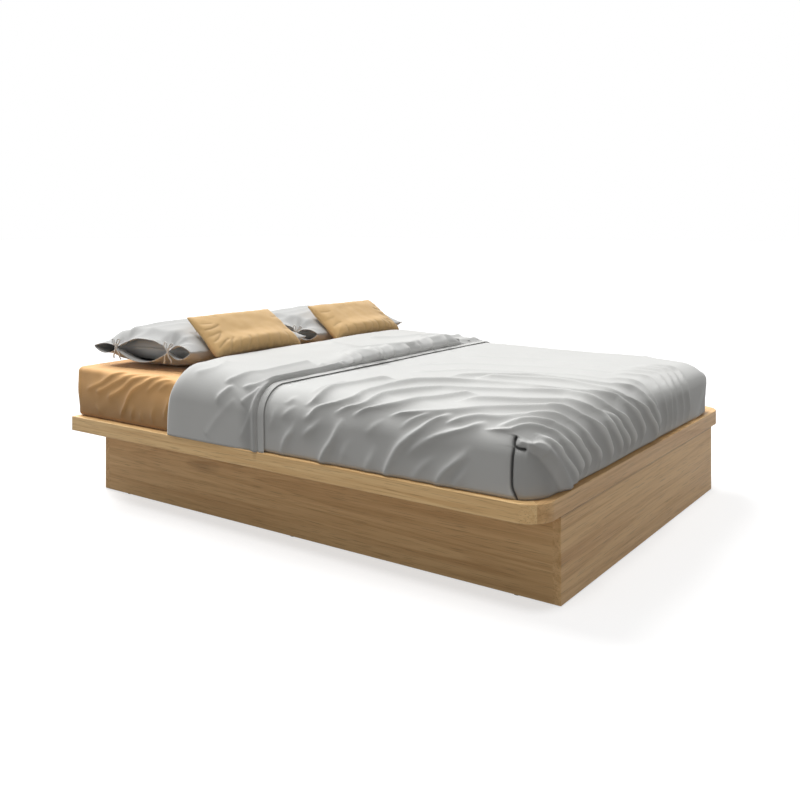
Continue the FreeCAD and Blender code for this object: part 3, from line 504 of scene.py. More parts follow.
def wander(along, size, seed):
    """A smooth random line from -1 to 1 that changes over about the given size along a fold."""
    spots = np.arange(along.min() - size, along.max() + size, size / WANDER_STEPS)
    return np.interp(along, spots, [noise.noise((spot / size, seed * WANDER_STRIDE, 0.5)) for spot in spots])


def bend_through(a, b, c, d, t):
    """A point on the smooth curve from b to c, between the neighbours a and d."""
    square = 2 * a - 5 * b + 4 * c - d
    cube = 3 * b - a - 3 * c + d
    return 0.5 * (2 * b + (c - a) * t + square * t ** 2 + cube * t ** 3)


def fold_line(corners):
    """Points on a smooth open curve through the corners."""
    knots = np.array(corners)
    knots = np.concatenate((2 * knots[:1] - knots[1:2], knots, 2 * knots[-1:] - knots[-2:-1]))
    spots = [bend_through(*knots[i:i + 4], t)
             for i in range(len(corners) - 1) for t in np.arange(0, 1, FOLD_SPAN)]
    return np.array(spots + [knots[-2]])


def fold_rise(plan, corners, steep, gentle, turn=1, faded=FOLD_FADE):
    """A fold's rise from 0 to 1: steep to the right of its course, gentle to the left, gone at its ends."""
    line = fold_line(corners)
    within = (plan > line.min(axis=0) - FOLD_REACH) & (plan < line.max(axis=0) + FOLD_REACH)
    close = np.flatnonzero(within.all(axis=1))
    nearest = np.full(len(close), FOLD_REACH)
    side = np.ones(len(close))
    place = np.zeros(len(close))
    length = 0.0
    for start, end in zip(line, line[1:]):
        run = end - start
        stretch = np.hypot(*run)
        off = plan[close] - start
        share = np.clip(off @ run / stretch ** 2, 0, 1)
        rest = off - share[:, None] * run
        gap = np.hypot(rest[:, 0], rest[:, 1])
        nearer = gap < nearest
        nearest[nearer] = gap[nearer]
        side[nearer] = turn * (run[0] * rest[:, 1] - run[1] * rest[:, 0])[nearer]
        place[nearer] = (length + share * stretch)[nearer]
        length += stretch
    fade = ease(place, 0, faded) * (1 - ease(place, length - faded, length))
    seed = len(corners) + FOLD_SEED_SPREAD * corners[0][1]
    swell = 1 + FOLD_SWELL * wander(place, FOLD_SWELL_LENGTH, seed)
    window = (1 - (nearest / FOLD_REACH) ** 2) ** 2
    rise = np.zeros(len(plan))
    away = np.copysign(nearest, side)
    skirt = crest(away, SKIRT_STEEP * steep, SKIRT_GENTLE * gentle)
    profile = FOLD_CORE * crest(away, steep, gentle) + FOLD_SKIRT * skirt
    rise[close] = profile * fade * swell * window
    return rise


def crowded(rises):
    """The rises of several folds together: where they meet, the highest counts most."""
    return sum(rise ** FOLD_CROWDING for rise in rises) ** (1 / FOLD_CROWDING)


sheet_low, sheet_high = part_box("fitted_sheet")
sheet_inside = (sheet_low[0] + SHEET_RIM, sheet_high[0] - SHEET_RIM)
sheet_grid = (np.concatenate((lines(sheet_low[0], sheet_inside[0], SHEET_STEP),
                              lines(sheet_inside[0], sheet_inside[1], SHEET_TOP_STEP)[1:-1],
                              lines(sheet_inside[1], sheet_high[0], SHEET_STEP))),
              np.concatenate((lines(sheet_low[1], SHEET_COVERED_TO, SHEET_COVERED_STEP),
                              lines(SHEET_FINE_FROM, sheet_high[1], SHEET_STEP))),
              lines(sheet_low[2], sheet_high[2], SHEET_STEP))
sheet_points, sheet_faces = box_walls(*sheet_grid, ALL_WALLS)
hole = sheet_points[:, 2] < sheet_low[2] + HAIR
for axis in (0, 1):
    hole &= sheet_points[:, axis] > sheet_low[axis] + SHEET_HEM
    hole &= sheet_points[:, axis] < sheet_high[axis] - SHEET_HEM
sheet_faces = sheet_faces[~hole[sheet_faces].any(axis=1)]
kept, sheet_faces = np.unique(sheet_faces, return_inverse=True)
sheet_faces = sheet_faces.reshape(-1, 4)
sheet_flat = sheet_points[kept]
sheet_edge = softer(sheet_flat[:, 1], SHEET_EDGE, SHEET_SOFT_EDGE)
sheet_points, sheet_out = rounded(sheet_flat, sheet_low, sheet_high, SHEET_HEAD_CORNER, SHEET_FOOT_CORNER,
                                  sheet_edge)
inward = np.minimum(sheet_flat[:, 0] - sheet_low[0], sheet_high[0] - sheet_flat[:, 0])
sheet_plan = np.column_stack((sheet_high[2] - sheet_flat[:, 2] - inward, sheet_flat[:, 1]))
creases = crowded(strength * fold_rise(sheet_plan, course, CREASE_STEEP, CREASE_GENTLE, -1, CREASE_FADE)
                  for strength, course in CREASES)
creases = creases * (1 - np.abs(sheet_out[:, 1]))
bare = ease(sheet_points[:, 1], SHEET_BARE_FROM - SHEET_BARE_BEFORE, SHEET_BARE_FROM + SHEET_BARE_AFTER)
above = ease(sheet_points[:, 2], sheet_low[2] + SHEET_TAUT, sheet_low[2] + SHEET_LOOSE)
slack = SHEET_SLACK * waver(sheet_points, SHEET_SLACK_SIZE, SHEET_SLACK_SEED)
sheet_rise = bare * above * (creases * CREASE_HEIGHT + slack)
bulge = SHEET_HEAD_BULGE * np.clip(sheet_out[:, 1], 0, 1)
sheet_rise += bulge * ease(sheet_points[:, 2], sheet_low[2], sheet_low[2] + SHEET_BULGE_HEIGHT)
sheet_points += sheet_out * np.maximum(sheet_rise, -SHEET_SKIN)[:, None]
sheet = piece("fitted_sheet_cloth", sheet_points, sheet_faces, ochre)
# Painted shade on the sheet's sides, darker towards the bottom, and a painted highlight on the crests of its
# creases.
sheet_wall = 1 - np.clip(sheet_out[:, 2], 0, 1)
sheet_shaded_low_part = 1 - ease(sheet_flat[:, 2], sheet_low[2], sheet_low[2] + SHEET_PAINTED_SHADE_HEIGHT)
tinted(sheet, "crease", SHEET_PAINTED_SHADE * sheet_wall * sheet_shaded_low_part)
tinted(sheet, "crest", SHEET_PAINTED_HIGHLIGHT * sheet_wall * bare * ease(creases, *PAINTED_HIGHLIGHT_PART))
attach(sheet, "mattress")
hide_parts("fitted_sheet")

# Duvet: a light quilt in washed grey cotton that hangs to the border at the sides and is tucked at
# the foot, with a pleat at each corner. Pulled slantwise, its cloth stands in long narrow ridges that
# run down the side, over the top and down the foot.
GREY_PALE = (0.55, 0.55, 0.535, 1)
GREY_SHADE = (0.475, 0.475, 0.46, 1)
DUVET_STEP = 0.006
DUVET_TOP = 0.519
DUVET_SIDE = 0.018
DUVET_FOOT = 0.016
DUVET_HEAD_END = 0.40
DUVET_CORNER = 0.10
DUVET_EDGE = 0.095
DUVET_LINING_GAP = 0.0012
DUVET_HEM_GAP = 0.0004
# The grid is finer on the near side, at the pleats and on the shoulder, where the folds stand.
DUVET_NEAR_TO = 0.24
DUVET_NEAR_STEP = 0.0042
DUVET_FAR_FROM = 0.248
DUVET_FAR_STEP = 0.008
DUVET_WALL_TO = 0.437
DUVET_WALL_STEP = 0.005
DUVET_SHOULDER_FROM = 0.440
DUVET_SHOULDER_STEP = 0.0020
PLEAT_STRETCH = (-0.980, -0.912, 0.0013)
# Each swell has its height, size and seed.
DUVET_SWELLS = ((0.004, 0.45, 16), (0.0018, 0.16, 17))
DUVET_SINK = 0.004
DUVET_DEEPEST = 0.0162
DUVET_HEM_TUCK = 0.010
DUVET_HEM_HEIGHT = 0.012
FOOT_SLUMP = 0.016
FOOT_SLUMP_REACH = 0.30
FOOT_SLUMP_HEIGHTS = (0.44, 0.52)
BAND_FOOT = 0.005
FOLD_HEIGHT = 0.0250
FOLD_STEEP = 0.0070
FOLD_GENTLE = 0.012
FOLD_SIDE_CALM = 0.36
FOLD_FOOT_BOOST = 0.25
# Painted shade in the valleys of the folds, on the corner panels and along the band's hem, and a painted
# highlight on the crests at the foot.
PANEL_SHADE = 0.30
VALLEY_SHADE = 0.08
HEM_SHADE = 0.75
CREST_PAINTED_HIGHLIGHT = 0.85
WALL_TURN = (0.25, 0.75)
VALLEY_PART = (0.1, 0.6)
RIDGE_PART = (0.45, 0.95)
HEM_SHADE_PART = (0.002, 0.009)
# Under the band's hem the duvet is pressed in, and the hem wanders a little.
TUCK_PART = (0.003, 0.03)
TUCK_DEPTH = 0.0015
HEM_WAVE = 0.005
HEM_WAVE_LENGTH = 0.22
HEM_WAVE_SEED = 27
# The far side has the near side's folds mirrored: fewer, lower, shorter and nearer the foot.
FAR_FOLDS_FROM = -0.80
FAR_FOLDS_TO = -0.74
FAR_FOLDS_HEADWARD = -0.75
FAR_LENGTH = 0.9
FAR_SHIFT = 0.05
FAR_STRENGTH = 0.6
FAR_CORNER = 0.35
# The corner: a flat panel behind a pleat, an ear over it, and a lip and a lobe that hang beside it.
CORNER_TOP = 0.040
OUT_OF_REACH = 9
PANEL_SINK = 0.006
PANEL_BLEND = 0.012
PLEAT_BLEND = 0.003
PLEAT_WIDTH = 0.0026
PLEAT_FADE = 0.010
PLEAT_DEPTH = 0.018
EAR_WIDTH = 0.0030
EAR_FADE = 0.012
EAR_DEPTH = 0.030
EAR_BLEND = 0.3
LIP_RISE = 0.015
LIP_STEEP = 0.006
LIP_GENTLE = 0.016
LIP_FADE = 0.03
LOBE_RISE = 0.008
LOBE_WIDTH = 0.015
LOBE_FADE = 0.02
# The pleat's and the ear's openings are painted dark: painted shade, with its contrast and where it starts.
OPENING_SHADE_CONTRAST = 2.4
OPENING_SHADE_START = 0.35
# Courses at the corner: along the wall from the corner, positive towards the head, and up.
PLEAT = ((0.0786, 0.459), (0.0795, 0.435), (0.0817, 0.4165), (0.0837, 0.381), (0.0837, 0.345),
         (0.0800, 0.330), (0.0735, 0.319), (0.0640, 0.300))
EAR = ((0.0690, 0.5160), (0.0750, 0.5050), (0.0785, 0.4860), (0.0783, 0.4686), (0.0760, 0.4590),
       (0.0695, 0.4550), (0.0608, 0.4523), (0.0454, 0.4522), (0.0250, 0.4530))
LIP = ((0.0340, 0.4980), (0.0119, 0.4940), (-0.0336, 0.4760), (-0.0632, 0.4424), (-0.1015, 0.4054),
       (-0.1464, 0.3620), (-0.1911, 0.3129), (-0.2200, 0.2800))
LOBE = ((0.0660, 0.482), (0.0500, 0.483), (0.0150, 0.478), (-0.0300, 0.455), (-0.0600, 0.425))
PANEL_TOP = ((-0.1700, 0.300), (-0.1276, 0.3308), (-0.0857, 0.3758), (-0.0555, 0.4070), (-0.0212, 0.4334),
             (0.0182, 0.4525), (0.0608, 0.4523), (0.0769, 0.4591), (0.0850, 0.4600))
# Each fold has its strength and its course on the unrolled duvet, from a hem or the top to a hem.
FOLDS = (
    (0.6, ((-0.96, -0.02), (-0.92, -0.04), (-0.88, -0.05), (-0.85, -0.05))),
    (0.8, ((-0.85, -0.07), (-0.83, -0.1), (-0.8, -0.11), (-0.77, -0.12))),
    (0.8, ((-0.91, -0.07), (-0.88, -0.1), (-0.86, -0.12), (-0.83, -0.14))),
    (0.9, ((-0.85, -0.16), (-0.815, -0.193), (-0.775, -0.21), (-0.727, -0.215), (-0.677, -0.21),
        (-0.627, -0.211), (-0.582, -0.219), (-0.533, -0.228), (-0.483, -0.239), (-0.439, -0.249),
        (-0.39, -0.26))),
    (0.5, ((-0.78, -0.16), (-0.729, -0.17), (-0.672, -0.162), (-0.62, -0.16), (-0.562, -0.164),
        (-0.51, -0.17))),
    (0.7, ((-1.055, -0.074), (-1.006, -0.084), (-0.961, -0.103), (-0.926, -0.131), (-0.88, -0.15))),
    (1, ((-0.9, -0.16), (-0.875, -0.199), (-0.843, -0.229), (-0.813, -0.274), (-0.783, -0.311),
        (-0.75, -0.345), (-0.704, -0.347), (-0.65, -0.343), (-0.602, -0.342), (-0.554, -0.348),
        (-0.506, -0.355), (-0.462, -0.369), (-0.423, -0.407), (-0.391, -0.442), (-0.362, -0.481),
        (-0.338, -0.522), (-0.326, -0.575), (-0.316, -0.622), (-0.313, -0.669), (-0.32, -0.717),
        (-0.327, -0.771), (-0.316, -0.816), (-0.292, -0.858), (-0.269, -0.9), (-0.244, -0.941),
        (-0.206, -0.978), (-0.19, -1.022), (-0.161, -1.059), (-0.124, -1.089), (-0.085, -1.126),
        (-0.065, -1.17), (-0.048, -1.215))),
    (0.8, ((-0.96, -0.15), (-0.929, -0.192), (-0.894, -0.236), (-0.85, -0.26))),
    (1, ((-0.87, -0.28), (-0.839, -0.316), (-0.809, -0.36), (-0.78, -0.397), (-0.738, -0.417),
        (-0.694, -0.434), (-0.643, -0.451), (-0.598, -0.465), (-0.553, -0.481), (-0.512, -0.503),
        (-0.489, -0.55), (-0.471, -0.593), (-0.453, -0.637), (-0.432, -0.687), (-0.414, -0.73),
        (-0.389, -0.77), (-0.362, -0.809), (-0.34, -0.856), (-0.339, -0.903), (-0.329, -0.949),
        (-0.312, -0.993), (-0.286, -1.04), (-0.251, -1.071), (-0.214, -1.1), (-0.179, -1.132),
        (-0.148, -1.175), (-0.122, -1.215))),
    (1, ((-1.065, -0.228), (-1.022, -0.246), (-0.976, -0.27), (-0.939, -0.299), (-0.893, -0.322),
        (-0.85, -0.34))),
    (1, ((-0.87, -0.35), (-0.836, -0.391), (-0.81, -0.43), (-0.782, -0.475), (-0.755, -0.521),
        (-0.717, -0.557), (-0.679, -0.583), (-0.628, -0.599), (-0.577, -0.614), (-0.531, -0.626),
        (-0.48, -0.64))),
    (1, ((-0.66, -0.63), (-0.636, -0.67), (-0.609, -0.715), (-0.582, -0.753), (-0.551, -0.795),
        (-0.52, -0.83), (-0.483, -0.867), (-0.451, -0.901), (-0.425, -0.946), (-0.396, -0.983),
        (-0.371, -1.029), (-0.355, -1.071), (-0.316, -1.105), (-0.283, -1.138), (-0.256, -1.182),
        (-0.238, -1.225))),
    (0.4, ((-1.045, -0.324), (-0.997, -0.333), (-0.949, -0.352), (-0.92, -0.39))),
    (0.6, ((-1.055, -0.408), (-1.011, -0.427), (-0.964, -0.451), (-0.92, -0.47))),
    (0.6, ((-0.92, -0.41), (-0.892, -0.44), (-0.861, -0.473), (-0.83, -0.5))),
    (1, ((-0.85, -0.49), (-0.819, -0.525), (-0.8, -0.574), (-0.785, -0.618), (-0.771, -0.663),
        (-0.753, -0.713), (-0.733, -0.755), (-0.702, -0.796), (-0.666, -0.828), (-0.631, -0.858),
        (-0.588, -0.889), (-0.55, -0.916), (-0.514, -0.946), (-0.488, -0.991), (-0.464, -1.031),
        (-0.429, -1.071), (-0.393, -1.1), (-0.365, -1.137), (-0.339, -1.183), (-0.318, -1.225))),
    (0.8, ((-0.89, -0.54), (-0.848, -0.573), (-0.812, -0.612), (-0.784, -0.652), (-0.76, -0.7))),
    (1, ((-1.065, -0.478), (-1.016, -0.499), (-0.968, -0.522), (-0.924, -0.55), (-0.89, -0.59),
        (-0.861, -0.627), (-0.821, -0.662), (-0.782, -0.698), (-0.75, -0.74))),
    (0.8, ((-0.97, -0.56), (-0.932, -0.594), (-0.901, -0.636), (-0.876, -0.681), (-0.856, -0.73),
        (-0.832, -0.775), (-0.791, -0.807), (-0.75, -0.84))),
    (0.9, ((-0.85, -0.68), (-0.817, -0.713), (-0.782, -0.751), (-0.758, -0.791), (-0.746, -0.841),
        (-0.725, -0.879), (-0.681, -0.907), (-0.64, -0.928), (-0.596, -0.955), (-0.569, -0.992),
        (-0.545, -1.039), (-0.52, -1.077), (-0.48, -1.11), (-0.443, -1.138), (-0.416, -1.182),
        (-0.398, -1.225))),
    (1, ((-0.81, -0.84), (-0.772, -0.878), (-0.739, -0.911), (-0.701, -0.947), (-0.658, -0.977),
        (-0.633, -1.023), (-0.608, -1.062), (-0.57, -1.099), (-0.529, -1.133), (-0.507, -1.174),
        (-0.494, -1.225))),
    (1, ((-0.83, -0.81), (-0.809, -0.86), (-0.791, -0.904), (-0.753, -0.94), (-0.721, -0.982),
        (-0.689, -1.026), (-0.666, -1.068), (-0.624, -1.099), (-0.585, -1.135), (-0.557, -1.173),
        (-0.544, -1.225))),
    (0.9, ((-0.76, -0.96), (-0.757, -1.011), (-0.73, -1.055), (-0.696, -1.094), (-0.656, -1.126),
        (-0.615, -1.157), (-0.58, -1.196), (-0.546, -1.235))),
    (0.9, ((-1.055, -0.652), (-1.018, -0.676), (-0.977, -0.704), (-0.948, -0.737), (-0.916, -0.774),
        (-0.88, -0.8))),
    (0.4, ((-1.055, -0.718), (-1.009, -0.741), (-0.964, -0.774), (-0.93, -0.81))),
    (0.35, ((-1.055, -0.572), (-1.014, -0.598), (-0.975, -0.626), (-0.947, -0.66), (-0.92, -0.7))),
    (0.25, ((-0.92, -0.82), (-0.9, -0.84), (-0.88, -0.86))),
    (0.6, ((-0.49, -1.08), (-0.459, -1.122), (-0.437, -1.174), (-0.424, -1.225))),
    (0.9, ((-0.35, -0.98), (-0.334, -1.028), (-0.307, -1.07), (-0.266, -1.107), (-0.226, -1.138),
        (-0.198, -1.179), (-0.178, -1.225))),
    (0.8, ((-0.29, -0.36), (-0.258, -0.395), (-0.223, -0.434), (-0.192, -0.469), (-0.169, -0.51),
        (-0.144, -0.557), (-0.122, -0.598), (-0.11, -0.642), (-0.11, -0.695), (-0.11, -0.742),
        (-0.104, -0.795), (-0.094, -0.84), (-0.083, -0.886), (-0.053, -0.927), (-0.02, -0.961),
        (-0.01, -1.004), (0.001, -1.055), (0.03, -1.09), (0.063, -1.124), (0.085, -1.171),
        (0.102, -1.215))),
    (0.9, ((-0.24, -0.45), (-0.227, -0.496), (-0.212, -0.547), (-0.199, -0.593), (-0.185, -0.644),
        (-0.175, -0.691), (-0.167, -0.738), (-0.161, -0.79), (-0.165, -0.838), (-0.17, -0.891),
        (-0.168, -0.938), (-0.148, -0.981), (-0.116, -1.023), (-0.083, -1.057), (-0.045, -1.086),
        (-0.003, -1.119), (0.034, -1.148), (0.063, -1.191), (0.082, -1.235))),
    (0.3, ((-0.27, -0.2), (-0.235, -0.231), (-0.196, -0.265), (-0.162, -0.296), (-0.123, -0.331),
        (-0.091, -0.363), (-0.075, -0.406), (-0.058, -0.455), (-0.044, -0.499), (-0.027, -0.549),
        (-0.016, -0.593), (-0.008, -0.645), (-0.001, -0.691), (0.006, -0.736), (0.014, -0.788),
        (0.021, -0.834), (0.031, -0.885), (0.04, -0.93))),
    (0.2, ((-0.15, -0.09), (-0.116, -0.122), (-0.078, -0.158), (-0.044, -0.19), (-0.01, -0.222),
        (0.024, -0.261), (0.041, -0.304), (0.061, -0.352), (0.078, -0.395), (0.095, -0.439),
        (0.115, -0.487), (0.124, -0.533), (0.13, -0.579), (0.137, -0.631), (0.143, -0.677), (0.15, -0.729),
        (0.156, -0.775), (0.159, -0.821), (0.154, -0.874), (0.15, -0.92))),
    (0.2, ((0.2, -0.14), (0.219, -0.184), (0.241, -0.234), (0.26, -0.278), (0.281, -0.327), (0.3, -0.371),
        (0.322, -0.421), (0.33, -0.467), (0.33, -0.521), (0.33, -0.569), (0.33, -0.617), (0.33, -0.671),
        (0.33, -0.719), (0.329, -0.773), (0.313, -0.817), (0.29, -0.866), (0.27, -0.91))),
    (0.6, ((0.01, -0.8), (0.045, -0.89), (0.06, -0.95), (0.054, -0.998), (0.05, -1.045), (0.064, -1.093),
        (0.094, -1.13), (0.116, -1.172), (0.138, -1.215))),
    (0.6, ((0.13, -0.79), (0.165, -0.88), (0.18, -0.94), (0.162, -0.986), (0.144, -1.033),
        (0.143, -1.086), (0.166, -1.128), (0.178, -1.176), (0.186, -1.225))),
    (0.6, ((0.23, -0.78), (0.265, -0.87), (0.28, -0.93), (0.252, -0.974), (0.228, -1.02), (0.213, -1.075),
        (0.22, -1.126), (0.235, -1.176), (0.252, -1.225))),
    (0.6, ((0.3, -0.78), (0.335, -0.87), (0.35, -0.93), (0.321, -0.974), (0.291, -1.019), (0.266, -1.071),
        (0.274, -1.121), (0.286, -1.173), (0.296, -1.225))),
    (0.6, ((0.35, -0.79), (0.385, -0.88), (0.4, -0.94), (0.376, -0.984), (0.352, -1.028), (0.334, -1.08),
        (0.348, -1.126), (0.358, -1.175), (0.366, -1.225))),
    (0.6, ((0.41, -0.8), (0.445, -0.89), (0.46, -0.95), (0.436, -0.992), (0.415, -1.035), (0.404, -1.085),
        (0.419, -1.13), (0.428, -1.178), (0.436, -1.225))),
)
grey = cloth("grey_cotton", GREY_PALE, GREY_SHADE, thread=0.0010, roughness=0.82, nap=0.2)


def shell(outer, inner, faces):
    """A closed skin of an outer and an inner surface of one layout, joined along their free edges."""
    count = len(outer)
    sides = np.concatenate([faces[:, [i, (i + 1) % 4]] for i in range(4)])
    _, back, uses = np.unique(np.sort(sides, axis=1), axis=0, return_inverse=True, return_counts=True)
    free = sides[uses[back.ravel()] == 1]
    rim = np.column_stack((free[:, 1], free[:, 0], free[:, 0] + count, free[:, 1] + count))
    return np.concatenate((outer, inner)), np.concatenate((faces, faces[:, ::-1] + count, rim))


def finer(start, end, step, fine_from, fine_to, fine_step):
    """Grid lines that stand closer together in one stretch."""
    middle = lines(fine_from, fine_to, fine_step)
    before = lines(start, fine_from - step / 2, step)
    return np.concatenate((before, middle, lines(fine_to + step / 2, end, step)))


def evened(values, faces, rounds):
    """Values at the points of a mesh after some rounds of averaging with their neighbours."""
    sides = np.concatenate([faces[:, [i, (i + 1) % 4]] for i in range(4)])
    sides = np.unique(np.sort(sides, axis=1), axis=0)
    both = np.concatenate((sides, sides[:, ::-1]))
    uses = np.bincount(both[:, 0], minlength=len(values))
    for _ in range(rounds):
        nearby = np.bincount(both[:, 0], weights=values[both[:, 1]], minlength=len(values)) / uses
        values = (values + nearby) / 2
    return values


def swells(points, table):
    """Soft uneven rises together, each with its height, size and seed."""
    return sum(height * waver(points, size, seed) for height, size, seed in table)


def hem_wave(points):
    """How far the band's hem wanders along the bed."""
    return HEM_WAVE * waver(points * (1, 0, 1), HEM_WAVE_LENGTH, HEM_WAVE_SEED)


duvet_low = np.array((sheet_low[0] - DUVET_SIDE, sheet_low[1] - DUVET_FOOT, sheet_low[2] + DUVET_HEM_GAP))
duvet_high = np.array((sheet_high[0] + DUVET_SIDE, DUVET_HEAD_END, DUVET_TOP))
duvet_grid = (np.concatenate((lines(duvet_low[0], DUVET_NEAR_TO, DUVET_NEAR_STEP),
                              lines(DUVET_FAR_FROM, duvet_high[0], DUVET_FAR_STEP))),
              finer(duvet_low[1], duvet_high[1], DUVET_STEP, *PLEAT_STRETCH),
              np.concatenate((lines(duvet_low[2], DUVET_WALL_TO, DUVET_WALL_STEP),
                              lines(DUVET_SHOULDER_FROM, duvet_high[2], DUVET_SHOULDER_STEP))))
flat_points, duvet_faces = box_walls(*duvet_grid, ("top", "near", "far", "foot"))
open_head = np.array((0, 1, 0)) * DUVET_CORNER
open_foot = np.array((0, 0, 1)) * DUVET_EDGE
duvet_outer, duvet_out = rounded(flat_points, duvet_low - open_foot, duvet_high + open_head, DUVET_CORNER,
                                 DUVET_CORNER, DUVET_EDGE)
lining_low = np.array(sheet_low) - DUVET_LINING_GAP
lining_high = np.array((sheet_high[0], DUVET_HEAD_END, sheet_high[2]))
lining_high = lining_high + (DUVET_LINING_GAP, 0, DUVET_LINING_GAP)
share = (flat_points - duvet_low) / (duvet_high - duvet_low)
lining_flat = lining_low + share * (lining_high - lining_low)
lining_flat[:, 2] = duvet_low[2] + share[:, 2] * (lining_high[2] - duvet_low[2])
lining_edge = softer(lining_flat[:, 1], SHEET_EDGE, SHEET_SOFT_EDGE)
duvet_inner, _ = rounded(lining_flat, lining_low - open_foot, lining_high + open_head, SHEET_FOOT_CORNER,
                         SHEET_FOOT_CORNER, lining_edge)

y = duvet_outer[:, 1]
z = duvet_outer[:, 2]
from_foot = y - duvet_low[1]
drop = DUVET_TOP - flat_points[:, 2]
at_near = flat_points[:, 0] <= duvet_low[0]
at_far = flat_points[:, 0] >= duvet_high[0]
at_foot = (flat_points[:, 1] <= duvet_low[1]) & ~at_near & ~at_far
unrolled = np.column_stack((flat_points[:, 0] - drop * at_near + drop * at_far,
                            flat_points[:, 1] - drop * at_foot))
mirror = duvet_low[0] + duvet_high[0]
rises = []
for strength, course in FOLDS:
    rises.append(strength * fold_rise(unrolled, course, FOLD_STEEP, FOLD_GENTLE, -1))
    far_course = [(mirror - across, FAR_LENGTH * lengthwise - FAR_SHIFT)
                  for across, lengthwise in course if across < FAR_FOLDS_TO]
    if course[0][0] < FAR_FOLDS_FROM and len(far_course) > 2 and course[0][1] > FAR_FOLDS_HEADWARD:
        rises.append(FAR_STRENGTH * strength * fold_rise(unrolled, far_course, FOLD_STEEP, FOLD_GENTLE))
fold_share = crowded(rises)
wall_share = 1 - FOLD_SIDE_CALM * np.abs(duvet_out[:, 0]) + FOLD_FOOT_BOOST * np.abs(duvet_out[:, 1])
duvet_rise = FOLD_HEIGHT * fold_share * wall_share
duvet_rise += swells(duvet_outer, DUVET_SWELLS) - DUVET_SINK
duvet_rise = evened(duvet_rise, duvet_faces, 1)
pleat_place, pleat_height = zip(*PLEAT[::-1])
panel_place, panel_height = zip(*PANEL_TOP)
# Painted shade in the valleys of the near side's folds, and a painted highlight on the crests of the foot's
# folds.
duvet_wall = 1 - ease(duvet_out[:, 2], *WALL_TURN)
duvet_painted_shade = VALLEY_SHADE * duvet_wall * np.abs(duvet_out[:, 0]) * (1 - ease(fold_share, *VALLEY_PART))
duvet_painted_highlight = CREST_PAINTED_HIGHLIGHT * duvet_wall * np.abs(duvet_out[:, 1]) * ease(fold_share, *RIDGE_PART)
below_top = 1 - ease(flat_points[:, 2], DUVET_TOP - CORNER_TOP, DUVET_TOP)
for at_side, wall_x, reach in ((at_near, duvet_low[0], 1.0), (at_far, duvet_high[0], FAR_CORNER)):
    from_corner = np.where(at_side, flat_points[:, 1] - duvet_low[1], -np.abs(flat_points[:, 0] - wall_x))
    corner_plan = np.column_stack((from_corner, flat_points[:, 2]))
    corner_plan[~(at_side | at_foot)] = OUT_OF_REACH
    beside = from_corner - np.interp(flat_points[:, 2], pleat_height, pleat_place)
    under = flat_points[:, 2] - np.interp(from_corner, panel_place, panel_height)
    panel = (1 - ease(beside, -PLEAT_BLEND, 0.0)) * (1 - ease(under, -PANEL_BLEND, 0.0))
    panel = panel * (at_side | at_foot)
    duvet_rise = np.where(panel > 0, duvet_rise * (1 - panel) - PANEL_SINK * reach * panel, duvet_rise)
    pleat = fold_rise(corner_plan, PLEAT, PLEAT_WIDTH, PLEAT_WIDTH, 1, PLEAT_FADE)
    ear = fold_rise(corner_plan, EAR, EAR_WIDTH, EAR_WIDTH, 1, EAR_FADE)
    lip = fold_rise(corner_plan, LIP, LIP_STEEP, LIP_GENTLE, 1, LIP_FADE)
    lobe = fold_rise(corner_plan, LOBE, LOBE_WIDTH, LOBE_WIDTH, 1, LOBE_FADE)
    duvet_rise += reach * below_top * LIP_RISE * lip
    duvet_rise += reach * below_top * LOBE_RISE * lobe
    duvet_rise -= PLEAT_DEPTH * pleat + EAR_DEPTH * ear * ease(below_top, 0.0, EAR_BLEND)
    # Painted shade in the pleat and the ear and on the flat corner panel behind the lip.
    opening_shade = np.clip(np.maximum(pleat, ear) * OPENING_SHADE_CONTRAST - OPENING_SHADE_START, 0, 1)
    duvet_painted_shade = np.maximum(duvet_painted_shade, opening_shade)
    duvet_painted_shade = np.maximum(duvet_painted_shade, PANEL_SHADE * panel * reach)
# Painted shade on the duvet along and under the band's hem.
hem_edge = BAND_FOOT + hem_wave(duvet_outer)
duvet_painted_shade = np.maximum(duvet_painted_shade, HEM_SHADE * (1 - ease(hem_edge - y, *HEM_SHADE_PART)))
tuck = 1 - ease(np.abs(y - BAND_FOOT), *TUCK_PART)
duvet_rise += tuck * (-TUCK_DEPTH - duvet_rise)
on_wall = at_near | at_far | at_foot
hem_part = 1 - ease(flat_points[:, 2], duvet_low[2], duvet_low[2] + DUVET_HEM_HEIGHT)
duvet_rise -= DUVET_HEM_TUCK * on_wall * hem_part
duvet_depth = ((duvet_outer - duvet_inner) * duvet_out).sum(axis=1) - DUVET_LINING_GAP
duvet_rise = np.maximum(duvet_rise, -np.clip(duvet_depth, 0, DUVET_DEEPEST))
duvet_outer += duvet_out * duvet_rise[:, None]
duvet_outer[:, 2] -= FOOT_SLUMP * (1 - ease(from_foot, 0.0, FOOT_SLUMP_REACH)) * ease(z, *FOOT_SLUMP_HEIGHTS)
duvet_outer[:, 2] = np.maximum(duvet_outer[:, 2], duvet_low[2])
duvet = piece("duvet_quilt", *shell(duvet_outer, duvet_inner, duvet_faces), grey)
# The painted shade and the painted highlight go to the cloth; the lining gets the shade but no highlight.
tinted(duvet, "crease", np.concatenate((duvet_painted_shade, duvet_painted_shade)))
tinted(duvet, "crest", np.concatenate((duvet_painted_highlight, duvet_painted_highlight * 0)))
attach(duvet, "mattress")
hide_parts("duvet")

